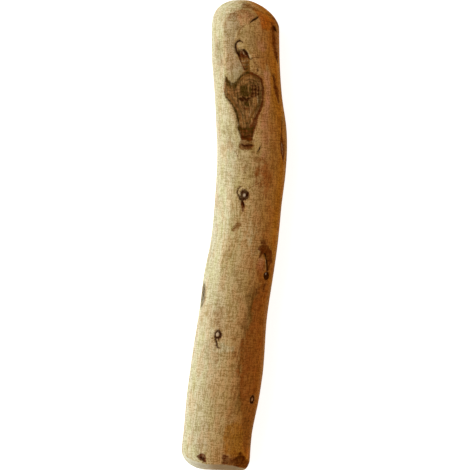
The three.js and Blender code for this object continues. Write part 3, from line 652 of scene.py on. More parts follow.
# How strongly each texture of the grain shows, the share of grain without a groove, and how much deeper
# the grooves are in dark wood
GRAIN = {"mottle": 0.35, "fibres": 2.3, "ripples": 1.9, "grains": 2.8}
UNGROOVED = 0.55
GROOVE_DEPTH = 1.4

# The ridges in the scar run along its outline: swings to a millimetre inwards and along, their wander,
# where they start and are full, how strong they are, and how strong the reddish bars across them are
RIDGE_SWINGS = (1.15, 0.08)
RIDGE_WANDER = 2.2
RIDGE_SPAN = (0.50, 0.60)
RIDGE_STRENGTH = 0.6
SCAR_BARS = 0.55

# The sawn face: the rings' turn to a millimetre outwards, in radians, how far in millimetres the rings and
# the sapwood wander, where across it the sapwood starts and is full, how much of it the rings take, the
# heart's size in millimetres, and how strongly the saw's cuts show
RING_SWINGS = 3.1
RING_WANDER = 4.6
SAPWOOD_WANDER = 8.0
SAPWOOD_SPAN = (2, -11)
SAPWOOD_RINGS = 0.2
HEART_SIZE = 3.4
SAW_CUT_TONE = 0.3

# Roughness of the wood, with what its fibres, its bark and the saw add, and its fine bumps
WOOD_ROUGHNESS = 0.52
FIBRE_ROUGHNESS = 0.16
BARK_ROUGHNESS = 0.2
SAWN_ROUGHNESS = 0.16
FLOOR_ROUGHNESS = 0.9
BUMP_STRENGTH = 0.35
BUMP_HEIGHT = 0.12
BUMPS = {"raised fibres": 0.7, "raised ripples": 0.35}

# Where the two soft lights hang, in metres
KEY_PLACE = (-0.62, 0.12, 0.62)
FILL_PLACE = (0.8, -0.1, 0.5)


def deselect_all():
    if bpy.context.object and bpy.context.object.mode != "OBJECT":
        bpy.ops.object.mode_set(mode="OBJECT")
    bpy.ops.object.select_all(action="DESELECT")


def make_active(piece):
    deselect_all()
    piece.select_set(True)
    bpy.context.view_layer.objects.active = piece


def apply_modifier(piece, kind, **settings):
    """Adds a modifier with these settings and applies it."""
    make_active(piece)
    modifier = piece.modifiers.new(kind.title(), kind)
    for name, value in settings.items():
        setattr(modifier, name, value)
    bpy.ops.object.modifier_apply(modifier=modifier.name)


def smooth_through(knots, values, at):
    """A smooth curve through values at knots, read at the places in at."""
    knots = np.asarray(knots, float)
    values = np.asarray(values, float)
    slopes = np.gradient(values, knots)
    step = np.clip(np.searchsorted(knots, at) - 1, 0, len(knots) - 2)
    span = knots[step + 1] - knots[step]
    t = np.clip((at - knots[step]) / span, 0, 1)
    from_value = values[step] * (1 + 2 * t) * (1 - t) ** 2 + slopes[step] * span * t * (1 - t) ** 2
    to_value = values[step + 1] * t * t * (3 - 2 * t) + slopes[step + 1] * span * t * t * (t - 1)
    return from_value + to_value


def heart_at(along):
    """How far across and up the heart of the branch lies, at these places along it."""
    knots, across, up = zip(*HEART_LINE)
    return smooth_through(knots, across, along), smooth_through(knots, up, along)


def fade(low, high, value):
    """0 below low, 1 above high and an even swing between."""
    t = np.clip((value - low) / (high - low), 0, 1)
    return t * t * (3 - 2 * t)


def select_edges(piece, wanted):
    """Selects the edges for which wanted(edge) holds, in edit mode."""
    bpy.ops.mesh.select_mode(type="EDGE")
    bpy.ops.mesh.select_all(action="DESELECT")
    made = bmesh.from_edit_mesh(piece.data)
    for edge in made.edges:
        if wanted(edge):
            edge.select_set(True)
    bmesh.update_edit_mesh(piece.data)


def lies_at(edge, along):
    return all(abs(corner.co.y / MM - along) < END_GAP for corner in edge.verts)


def round_off_end(piece, end):
    """Extrudes the ring of edges at one end inwards over a rounded rim, and fills the rest with a grid."""
    along = end.side * (HALF_LENGTH - end.depth)
    share = 1
    select_edges(piece, lambda edge: lies_at(edge, along))
    for ring in range(1, end.rings + 1):
        turn = math.radians(end.turn * ring / end.rings)
        next_along = end.side * (HALF_LENGTH - end.depth * (1 - math.sin(turn)))
        next_share = 1 - end.inset * (1 - math.cos(turn))
        step = (0, (next_along - along) * MM, 0)
        bpy.ops.mesh.extrude_region_move(TRANSFORM_OT_translate={"value": step})
        narrower = next_share / share
        bpy.ops.transform.resize(value=(narrower, 1, narrower), center_override=(0, next_along * MM, 0))
        along = next_along
        share = next_share
    bpy.ops.mesh.fill_grid(span=bpy.context.scene.chew_stick_shape.round_steps // 4)


def straight_tube(shape):
    """A plain closed tube of the branch's mean radius, with rounded ends, along Y."""
    start = -HALF_LENGTH + BUTT.depth
    length = 2 * HALF_LENGTH - BUTT.depth - TIP.depth
    bpy.ops.mesh.primitive_circle_add(
        vertices=shape.round_steps,
        radius=SKIN_RADIUS * MM,
        fill_type="NOTHING",
        location=(0, start * MM, 0),
        rotation=(math.pi / 2, 0, 0),
    )
    piece = bpy.context.object
    piece.name = PIECE
    piece.data.name = PIECE
    bpy.ops.object.transform_apply(location=True, rotation=True, scale=True)
    bpy.ops.object.mode_set(mode="EDIT")
    bpy.ops.mesh.select_all(action="SELECT")
    bpy.ops.mesh.extrude_region_move(TRANSFORM_OT_translate={"value": (0, length * MM, 0)})
    round_off_end(piece, TIP)
    round_off_end(piece, BUTT)
    first_cuts = math.isqrt(shape.length_steps) - 1
    second_cuts = shape.length_steps // (first_cuts + 1) - 1
    for cuts in (first_cuts, second_cuts):
        longest = max(edge.calc_length() for edge in bmesh.from_edit_mesh(piece.data).edges)
        select_edges(piece, lambda edge: edge.calc_length() > longest / 2)
        bpy.ops.mesh.subdivide(number_cuts=cuts)
    bpy.ops.mesh.select_all(action="SELECT")
    bpy.ops.mesh.normals_make_consistent(inside=False)
    bpy.ops.object.mode_set(mode="OBJECT")
    return piece


def bend_along_heart(piece):
    """Bends the tube with a cage whose every ring is moved onto the heart line."""
    deselect_all()
    bpy.ops.object.add(type="LATTICE")
    cage = bpy.context.object
    cage.scale = (CAGE_WIDTH * MM, 2 * HALF_LENGTH * MM, CAGE_WIDTH * MM)
    cage.data.points_u = 2
    cage.data.points_v = CAGE_RINGS
    cage.data.points_w = 2
    cage.data.interpolation_type_v = "KEY_LINEAR"
    for point in cage.data.points:
        across, up = heart_at(np.array([point.co.y * 2 * HALF_LENGTH]))
        point.co_deform = point.co + Vector((across[0] / CAGE_WIDTH, 0, up[0] / CAGE_WIDTH))
    bpy.context.view_layer.update()
    apply_modifier(piece, "LATTICE", object=cage)
    bpy.data.objects.remove(cage)


def merged_copy(node):
    """A copy of a node of the part with its loose triangles joined up."""
    copy = node.copy()
    copy.data = node.data.copy()
    copy.parent = None
    bpy.context.scene.collection.objects.link(copy)
    make_active(copy)
    bpy.ops.object.mode_set(mode="EDIT")
    bpy.ops.mesh.select_all(action="SELECT")
    bpy.ops.mesh.remove_doubles(threshold=MERGE_GAP * MM)
    bpy.ops.object.mode_set(mode="OBJECT")
    return copy


def fit_to_part(piece):
    """Lays the bent tube onto the part's own solid, then takes that solid's facets out of it."""
    solid = merged_copy(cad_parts[NODE])
    apply_modifier(
        piece,
        "SHRINKWRAP",
        target=solid,
        wrap_method="PROJECT",
        use_negative_direction=True,
        use_positive_direction=True,
        project_limit=FIT_REACH * MM,
    )
    apply_modifier(piece, "SHRINKWRAP", target=solid, wrap_method="NEAREST_SURFACEPOINT")
    bpy.data.objects.remove(solid)
    apply_modifier(piece, "SMOOTH", factor=FIT_SMOOTHING_SHARE, iterations=FIT_SMOOTHING)


def points_of(piece):
    """Every vertex of the mesh, in millimetres."""
    points = np.empty(len(piece.data.vertices) * 3)
    piece.data.vertices.foreach_get("co", points)
    return points.reshape(-1, 3) / MM


class Skin:
    """Where each vertex of the mesh lies on the branch, and the marks worked out there."""

    def __init__(self, piece):
        self.points = points_of(piece)
        self.along = self.points[:, 1]
        across, up = heart_at(self.along)
        self.straight = np.stack((self.points[:, 0] - across, self.along, self.points[:, 2] - up), axis=-1)
        self.angle = np.degrees(np.arctan2(self.straight[:, 0], self.straight[:, 2]))
        self.paints = {name: np.zeros(len(self.points)) for name in PAINTS}
        self.sunk = np.zeros(len(self.points))
        self.raised = np.zeros(len(self.points))
        self.wobble = sum(
            np.stack((self.figure(wobble), self.figure(wobble, SECOND_WOBBLE)), axis=-1) * wobble.height
            for wobble in WOBBLES
        )

    def figure(self, figure, shift=0.0):
        """Smooth unevenness from -1 to 1, with the figure's own swings round and along the branch."""
        scale = np.array((figure.round, figure.along, figure.round))
        shifted = self.straight * scale + figure.seed + shift
        return np.array([noise.noise(Vector(point)) for point in shifted])

    def laid_flat(self, about):
        """Every vertex as millimetres of skin round from the angle about, and millimetres along."""
        turn = (self.angle - about + 180) % 360 - 180
        return np.stack((turn * ARC, self.along), axis=-1) + self.wobble

    def mark(self, paint, strength, cover, depth):
        """Paints where cover, from 0 to 1, says, and sinks the skin there."""
        self.paints[paint] = np.maximum(self.paints[paint], strength * cover)
        self.sunk = np.maximum(self.sunk, depth * cover)


def course_line(places, closed=False):
    """A smooth run through places, each an angle and a place along, laid flat about their middle angle.

    Any further column, such as a width, is carried along. Gives the middle angle and the run."""
    rows = np.array(places, float)
    about = (rows[:, 0].min() + rows[:, 0].max()) / 2
    rows[:, 0] = (rows[:, 0] - about) * ARC
    if closed:
        rows = np.vstack((rows[-1:], rows, rows[:2]))
    else:
        rows = np.vstack((2 * rows[:1] - rows[1:2], rows, 2 * rows[-1:] - rows[-2:-1]))
    run = []
    for before, start, end, after in zip(rows, rows[1:], rows[2:], rows[3:]):
        for step in range(COURSE_STEPS):
            t = step / COURSE_STEPS
            run.append(0.5 * (
                2 * start + (end - before) * t + (2 * before - 5 * start + 4 * end - after) * t * t
                + (3 * start - before - 3 * end + after) * t ** 3
            ))
    run.append(rows[-2])
    return about, np.array(run)


def distance_to_run(flat, run):
    """How far each flat point is from the run, and the run's further columns at the nearest place."""
    start, end = run[:-1], run[1:]
    leg = end[:, :2] - start[:, :2]
    away = flat[:, None, :] - start[None, :, :2]
    t = np.clip((away * leg).sum(-1) / np.maximum((leg * leg).sum(-1), 1e-9), 0, 1)
    gap = np.linalg.norm(away - t[..., None] * leg, axis=-1)
    nearest = gap.argmin(axis=1)
    rows = np.arange(len(flat))
    share = t[rows, nearest]
    return gap[rows, nearest], start[nearest, 2:] + share[:, None] * (end - start)[nearest, 2:]


def nearby(flat, run, margin):
    """Which flat points lie within the run's box, widened by a margin."""
    low = run[:, :2].min(axis=0) - margin
    high = run[:, :2].max(axis=0) + margin
    return np.flatnonzero(((flat > low) & (flat < high)).all(axis=1))


def stroke_cover(skin, places, closed=False, wider=0.0):
    """How fully a stroke covers each vertex, from 0 to 1."""
    about, run = course_line(places, closed)
    flat = skin.laid_flat(about)
    chosen = nearby(flat, run, STROKE_REACH * (run[:, 2].max() + wider))
    cover = np.zeros(len(flat))
    if len(chosen):
        gap, widths = distance_to_run(flat[chosen], run)
        half_width = np.maximum(widths[:, 0], THINNEST_STROKE) + wider
        cover[chosen] = np.exp2(-(gap / half_width) ** 2)
    return cover


def depth_inside(skin, outline, reach):
    """How far inside an outline each vertex lies, down to -reach outside it."""
    about, run = course_line(outline, closed=True)
    flat = skin.laid_flat(about)
    chosen = nearby(flat, run, reach)
    depth = np.full(len(flat), -float(reach))
    if len(chosen):
        gap, _ = distance_to_run(flat[chosen], run)
        x, y = flat[chosen].T
        inside = np.zeros(len(chosen), bool)
        for (x1, y1), (x2, y2) in zip(run[:-1, :2], run[1:, :2]):
            if y1 != y2:
                crosses = (y > min(y1, y2)) & (y <= max(y1, y2))
                inside ^= crosses & (x < x1 + (y - y1) * (x2 - x1) / (y2 - y1))
        depth[chosen] = np.where(inside, gap, -gap)
    return depth


def patch_cover(skin, outline, softness, wider=0.0):
    """How fully an outline's inside covers each vertex, from 0 to 1, with an edge that soft."""
    depth = depth_inside(skin, outline, softness + wider + OUTLINE_MARGIN)
    return fade(-softness, softness, depth + wider)


def knot_ring(knot, size, width):
    """A ring of skin round a knot, as the course of a stroke."""
    course = []
    for step in range(RING_POINTS):
        turn = 2 * math.pi * step / RING_POINTS
        angle = knot.angle + size * math.sin(turn) / ARC
        course.append((angle, knot.along + size * knot.oval * math.cos(turn), width))
    return course


def mark_knot(skin, knot):
    """The sunk dark ring of a knot and the pale stub that stands in it, painted with a highlight."""
    ring = knot_ring(knot, knot.ring, knot.width)
    cover = stroke_cover(skin, ring, closed=True)
    skin.mark("bark", knot.tone, cover, knot.depth)
    skin.mark("halo", knot.tone, stroke_cover(skin, ring, closed=True, wider=HALO_WIDTH), 0)
    skin.mark("stub", knot.pale, patch_cover(skin, knot_ring(knot, knot.stub, 0), STUB_SOFTNESS), 0)
    dome = patch_cover(skin, knot_ring(knot, knot.ring, 0), knot.ring * KNOT_DOME)
    skin.raised = np.maximum(skin.raised, KNOT_RISE * dome * (1 - cover))


def mark_skin(skin):
    """Works out all the marks of the branch on its skin."""
    for stroke in STROKES.values():
        skin.mark(stroke.paint, stroke.strength, stroke_cover(skin, stroke.course), stroke.depth)
        if stroke.paint in HALO_PAINTS:
            skin.mark("halo", stroke.strength, stroke_cover(skin, stroke.course, wider=HALO_WIDTH), 0)
    for patch in PATCHES.values():
        cover = patch_cover(skin, patch.outline, patch.softness)
        skin.mark(patch.paint, patch.strength, cover, patch.depth)
    for knot in (*KNOTS, EYELET_NUB):
        mark_knot(skin, knot)
    skin.paints["inset"] = np.clip(depth_inside(skin, PATCHES["scar"].outline, INSET_REACH), 0, None)
    degrees, edges = zip(*SAWN_EDGE)
    edge = np.interp(skin.angle, degrees, edges) + skin.wobble[:, 0] * SAWN_WANDER
    skin.paints["sawn"] = fade(-SAWN_SOFTNESS, SAWN_SOFTNESS, edge - skin.along)


def refine_marks(piece):
    """Halves the cells of the mesh wherever a fine mark lies."""
    skin = Skin(piece)
    near = np.zeros(len(skin.points), bool)
    for stroke in STROKES.values():
        near |= stroke_cover(skin, stroke.course, wider=FINE_MARGIN) > FINE_COVER
    for knot in (*KNOTS, EYELET_NUB):
        ring = knot_ring(knot, knot.ring + knot.width, 0)
        near |= patch_cover(skin, ring, FINE_SOFTNESS, wider=FINE_MARGIN) > 0
    for patch in PATCHES.values():
        if patch.depth > FINE_DEPTH:
            near |= patch_cover(skin, patch.outline, patch.softness, wider=FINE_MARGIN / 2) > 0
    make_active(piece)
    bpy.ops.object.mode_set(mode="EDIT")
    bpy.ops.mesh.select_mode(type="FACE")
    bpy.ops.mesh.select_all(action="DESELECT")
    made = bmesh.from_edit_mesh(piece.data)
    for face in made.faces:
        if any(near[corner.index] for corner in face.verts):
            face.select_set(True)
    bmesh.update_edit_mesh(piece.data)
    bpy.ops.mesh.subdivide(number_cuts=1)
    bpy.ops.object.mode_set(mode="OBJECT")


def move_skin(piece, name, amount, height):
    """Moves the skin along its normals by amount, in millimetres, which goes from 0 to height."""
    group = piece.vertex_groups.new(name=name)
    weights = np.clip(amount / height, 0, 1)
    for vertex in np.flatnonzero(weights > LEAST_WEIGHT):
        group.add([int(vertex)], float(weights[vertex]), "REPLACE")
    apply_modifier(piece, "DISPLACE", vertex_group=name, mid_level=0, strength=height * MM)
    piece.vertex_groups.remove(piece.vertex_groups[name])


def carve_skin(piece, skin, shape):
    """Gives the skin its unevenness, which only ever swells it, then its cuts and its raised knots."""
    height = sum(figure.height for figure in FIGURES) + SCAR_FIGURE.height
    uneven = sum(figure.height * skin.figure(figure) for figure in FIGURES)
    uneven += SCAR_FIGURE.height * skin.figure(SCAR_FIGURE) * skin.paints["scar"]
    free = fade(*REST_HEIGHT, skin.points[:, 2])
    move_skin(piece, "uneven", (uneven + height) * free * shape.unevenness, 2 * height)
    deepest = skin.sunk.max()
    move_skin(piece, "cut", -skin.sunk * shape.cut_depth, -deepest)
    move_skin(piece, "raised", skin.raised, KNOT_RISE)


def keep_on_mesh(piece, skin):
    """Keeps the straightened places and the layers of paint as attributes for the material."""
    mesh = piece.data
    branch = mesh.attributes.new("branch", "FLOAT_VECTOR", "POINT")
    branch.data.foreach_set("vector", skin.straight.astype(np.float32).ravel())
    for name, cover in skin.paints.items():
        paint = mesh.attributes.new(name, "FLOAT", "POINT")
        paint.data.foreach_set("value", cover.astype(np.float32))


class Number:
    """A number that varies over the surface. Arithmetic on it adds Math nodes."""

    def __init__(self, tree, socket):
        self.tree = tree
        self.socket = socket

    def maths(self, operation, *values):
        return Number(self.tree, self.tree.node("ShaderNodeMath", {"operation": operation}, *values))

    def __add__(self, other):
        return self.maths("ADD", self, other)

    def __sub__(self, other):
        return self.maths("SUBTRACT", self, other)

    def __rsub__(self, other):
        return self.maths("SUBTRACT", other, self)

    def __mul__(self, other):
        return self.maths("MULTIPLY", self, other)

    def __truediv__(self, other):
        return self.maths("DIVIDE", self, other)

    __radd__ = __add__
    __rmul__ = __mul__

    def swing(self, low, high):
        """0 below low, 1 above high and an even swing between."""
        settings = {"interpolation_type": "SMOOTHSTEP"}
        return Number(self.tree, self.tree.node("ShaderNodeMapRange", settings, self, low, high))


class Tree:
    """A material's nodes. A node's output is what each call gives back."""

    def __init__(self, material):
        material.use_nodes = True
        self.nodes = material.node_tree.nodes
        self.links = material.node_tree.links
        self.nodes.clear()

    def node(self, kind, settings, *values, output=0, **named):
        """Adds a node, sets it up, then gives its sockets their values or links, in order or by name."""
        node = self.nodes.new(kind)
        for name, value in settings.items():
            setattr(node, name, value)
        sockets = dict(enumerate(values))
        sockets.update(named)
        for key, value in sockets.items():
            socket = node.inputs[key] if isinstance(key, int) else self.find(node.inputs, key)
            if isinstance(value, Number):
                value = value.socket
            if isinstance(value, bpy.types.NodeSocket):
                self.links.new(value, socket)
            else:
                socket.default_value = value
        if output is None:
            return None
        return node.outputs[output] if isinstance(output, int) else self.find(node.outputs, output)

    def find(self, sockets, name):
        """The socket whose identifier or name, with its spaces as underscores, is this."""
        for socket in sockets:
            if name in (socket.identifier, socket.name.replace(" ", "_")):
                return socket
        raise KeyError(name)

    def attribute(self, name, output="Fac"):
        return self.node("ShaderNodeAttribute", {"attribute_name": name}, output=output)

    def number(self, name):
        return Number(self, self.attribute(name))

    def parts(self, vector):
        """A vector's three numbers."""
        node = self.nodes.new("ShaderNodeSeparateXYZ")
        self.links.new(vector, node.inputs[0])
        return [Number(self, output) for output in node.outputs]

    def scaled(self, vector, factors):
        return self.node("ShaderNodeVectorMath", {"operation": "MULTIPLY"}, vector, factors)

    def noise(self, vector, texture):
        """Noise from 0 to 1, with the texture's own swings along each way of the vector."""
        return Number(self, self.node(
            "ShaderNodeTexNoise", {}, Vector=self.scaled(vector, texture.swings), Scale=1.0,
            Detail=texture.detail, Roughness=texture.roughness, Distortion=texture.distortion,
        ))

    def mix(self, factor, first, second, blend="MIX"):
        """Two colours mixed by a factor."""
        settings = {"data_type": "RGBA", "blend_type": blend, "clamp_factor": True}
        return self.node(
            "ShaderNodeMix", settings, Factor_Float=factor, A_Color=first, B_Color=second,
            output="Result_Color",
        )

    def tone(self, colour, brightness):
        """A colour made lighter or darker by a number."""
        shade = self.node("ShaderNodeCombineXYZ", {}, brightness, brightness, brightness)
        return self.node("ShaderNodeVectorMath", {"operation": "MULTIPLY"}, colour, shade)

    def ramp(self, factor, stops):
        """A run of colours, each from its place on."""
        node = self.nodes.new("ShaderNodeValToRGB")
        node.color_ramp.interpolation = "B_SPLINE"
        elements = node.color_ramp.elements
        while len(elements) < len(stops):
            elements.new(1.0)
        for element, (place, colour) in zip(elements, stops):
            element.position = place
            element.color = (*colour, 1)
        self.links.new(factor.socket, node.inputs[0])
        return node.outputs["Color"]


def rgba(colour):
    return (*colour, 1)


def skin_colour(tree, branch, colours):
    """Pale sapwood on the left, honey on top, heartwood on the right and tan underneath, with painted side
    light in them: the left is paler and the right darker because the light falls from the left.

    The stops go once round the branch, from underneath over its left side; the two shade stops are painted
    shade where the flanks turn under."""
    x, _, z = tree.parts(branch)
    turn = x.maths("ARCTAN2", x, z) / (2 * math.pi) + 0.5
    for name, share in WANDER.items():
        turn += (tree.noise(branch, TEXTURES[name]) - 0.5) * share
    stops = (
        (0.0, colours.underside),
        (0.10, colours.sapwood_shade),
        (0.18, colours.sapwood),
        (0.37, colours.sapwood),
        (0.43, colours.straw),
        (0.485, colours.honey),
        (0.53, colours.tan),
        (0.585, colours.heartwood),
        (0.65, colours.heartwood_deep),
        (0.70, colours.heartwood_deep),
        (0.745, colours.heartwood_shade),
        (1.0, colours.underside),
    )
    return tree.ramp(turn, stops)


def worn(cover, texture, reach):
    """A layer's cover, eaten into by a texture wherever the layer isn't full."""
    return (cover * (1 + reach) - texture * reach).swing(0, 1)


def layered(tree, colour, colours, layers, textures):
    """Lays paints over a colour, each in the colour that has its name."""
    for name, layer in layers.items():
        cover = worn(tree.number(name), textures[layer.wear], layer.reach)
        amount = cover * (layer.most - textures["blotches"] * layer.thin)
        colour = tree.mix(amount, colour, rgba(getattr(colours, name)))
    return colour


def painted_rim_light_and_shade(tree, branch, colour, colours):
    """Paints shade, a greyer brown, on the right flank and light, a paler cream, on the left flank, where
    each turns under.
    """
    x, _, z = tree.parts(branch)
    side = x / x.maths("SQRT", x * x + z * z)
    for name, (start, full, strength) in RIM_LIGHT_AND_SHADE.items():
        colour = tree.mix(side.swing(start, full) * strength, colour, rgba(getattr(colours, name)))
    return colour


def clouded(tree, branch, colour, colours):
    """Adds the wood's pinkish and greenish clouds and its darker veins."""
    for name, overlay in OVERLAYS.items():
        place = tree.noise(branch, TEXTURES[overlay.texture])
        amount = place.swing(overlay.start, overlay.full) * overlay.strength
        colour = tree.mix(amount, colour, rgba(getattr(colours, name)), blend="MULTIPLY")
    return colour


def scar_wood(tree, branch, colours, textures):
    """The scar's own wood: fibres, and ridges that follow its outline inwards."""
    _, along, _ = tree.parts(branch)
    wander = tree.noise(branch, TEXTURES["scar wander"])
    inwards = tree.number("inset") * RIDGE_SWINGS[0] + wander * RIDGE_WANDER
    ridge_place = tree.node("ShaderNodeCombineXYZ", {}, inwards, along * RIDGE_SWINGS[1], 0.0)
    ridges = Number(tree, tree.node("ShaderNodeTexNoise", {}, Vector=ridge_place, Scale=1.0, Detail=2.0))
    colour = tree.mix(textures["streaks"], rgba(colours.scar_dark), rgba(colours.scar_light))
    colour = tree.mix(textures["blotches"] * SCAR_BARS, colour, rgba(colours.scar_red))
    return tree.mix(ridges.swing(*RIDGE_SPAN) * RIDGE_STRENGTH, colour, rgba(colours.char))


def marked(tree, branch, colour, colours, textures):
    """Lays the scar's own wood, the dark stains, the ingrown bark, and the pale fibres and flecks with the
    painted highlights over the wood.
    """
    scar = worn(tree.number("scar"), textures["crumbs"], SCAR_WEAR)
    colour = tree.mix(scar * SCAR_MOST, colour, scar_wood(tree, branch, colours, textures))
    return layered(tree, colour, colours, DARK_AND_BRIGHT, textures)


def grained(tree, branch, colour, colours):
    """Works the fine weave of fibres and ripples into a colour."""
    raised = sum((tree.noise(branch, TEXTURES[name]) - 0.5) * strength for name, strength in GRAIN.items())
    lightness = Number(tree, tree.node("ShaderNodeRGBToBW", {}, colour))
    grooved = tree.mix(GROOVE_DEPTH - lightness, colour, rgba(colours.groove_tint), blend="MULTIPLY")
    return tree.mix((raised + UNGROOVED).swing(0, 1), grooved, colour)


def sawn_face(tree, branch, colours):
    """The butt's sawn face: uneven growth rings round the heart, pale sapwood on its left, which is partly
    painted light from the left, and fine rays.
    """
    x, _, z = tree.parts(branch)
    wander = tree.noise(branch, TEXTURES["ring wander"])
    out = x.maths("SQRT", x * x + z * z) + (wander - 0.5) * RING_WANDER
    turns = out * RING_SWINGS
    rings = turns.maths("SINE", turns) * 0.5 + 0.5
    strength = tree.noise(branch, TEXTURES["ring strength"])
    colour = tree.mix(rings * strength, rgba(colours.sawn), rgba(colours.sawn_ring))
    sapwood = (x + (wander - 0.5) * SAPWOOD_WANDER).swing(*SAPWOOD_SPAN)
    colour = tree.mix(sapwood * (1 - rings * SAPWOOD_RINGS), colour, rgba(colours.sawn_pale))
    colour = tree.mix((HEART_SIZE - out).swing(0, HEART_SIZE), colour, rgba(colours.sawn_heart))
    cuts = tree.noise(branch, TEXTURES["saw cuts"])
    return tree.tone(colour, 1 + (cuts - 0.5) * SAW_CUT_TONE)


def wood_material(colours):
    """Olive wood with all its marks, read at each place of the branch as if it were straight."""
    material = bpy.data.materials.new("olive_wood")
    tree = Tree(material)
    branch = tree.attribute("branch", output="Vector")
    colour = skin_colour(tree, branch, colours)
    textures = {name: tree.noise(branch, texture).swing(*WEAR_SPAN) for name, texture in WEAR.items()}
    colour = layered(tree, colour, colours, TINTS, textures)
    colour = painted_rim_light_and_shade(tree, branch, colour, colours)
    colour = clouded(tree, branch, colour, colours)
    colour = marked(tree, branch, colour, colours, textures)
    colour = grained(tree, branch, colour, colours)
    # The knots' pale stubs, with their painted highlights
    colour = tree.mix(tree.number("stub"), colour, rgba(colours.stub))
    sawn = worn(tree.number("sawn"), textures["crumbs"], SAWN_WEAR)
    colour = tree.mix(sawn, colour, sawn_face(tree, branch, colours))
    bumps = {name: tree.noise(branch, TEXTURES[name]) for name in BUMPS}
    roughness = WOOD_ROUGHNESS + (bumps["raised fibres"] - 0.5) * FIBRE_ROUGHNESS
    roughness += tree.number("bark") * BARK_ROUGHNESS + sawn * SAWN_ROUGHNESS
    height = sum(bumps[name] * share for name, share in BUMPS.items())
    normal = tree.node(
        "ShaderNodeBump", {}, Strength=BUMP_STRENGTH, Distance=BUMP_HEIGHT * MM, Height=height,
    )
    shader = tree.node(
        "ShaderNodeBsdfPrincipled", {}, Base_Color=colour, Roughness=roughness, Normal=normal,
        Specular_IOR_Level=0.0,
    )
    tree.node("ShaderNodeOutputMaterial", {}, shader, output=None)
    return material


def floor_material(colour, glow):
    """A pale matt floor that gives off a little light of its own."""
    material = bpy.data.materials.new("pale_floor")
    tree = Tree(material)
    shader = tree.node(
        "ShaderNodeBsdfPrincipled", {}, Base_Color=rgba(colour), Roughness=FLOOR_ROUGHNESS,
        Emission_Color=rgba(colour), Emission_Strength=glow,
    )
    tree.node("ShaderNodeOutputMaterial", {}, shader, output=None)
    return material


def aim(thing, target):
    """Turns a light to shine at a target."""
    away = Vector(target) - thing.location
    thing.rotation_euler = away.to_track_quat("-Z", "Y").to_euler()


def colour_property(name, description, default):
    return FloatVectorProperty(
        name=name, description=description, default=default, subtype="COLOR", size=3, min=0, max=1,
    )


class ChewStickShape(bpy.types.PropertyGroup):
    """How finely and how strongly the branch is modelled."""

    round_steps: IntProperty(
        name="Steps round", description="Faces round the branch, a multiple of four",
        default=200, min=40, max=240,
    )
    length_steps: IntProperty(
        name="Steps along", description="Faces along the branch between its ends",
        default=306, min=60, max=400,
    )
    unevenness: FloatProperty(
        name="Unevenness", description="How much of the wood's waviness shows",
        default=1.0, min=0, max=1, subtype="FACTOR",
    )
    cut_depth: FloatProperty(
        name="Depth of marks", description="How deep the splits and rings go, as a share",
        default=1.0, min=0, max=1, subtype="FACTOR",
    )


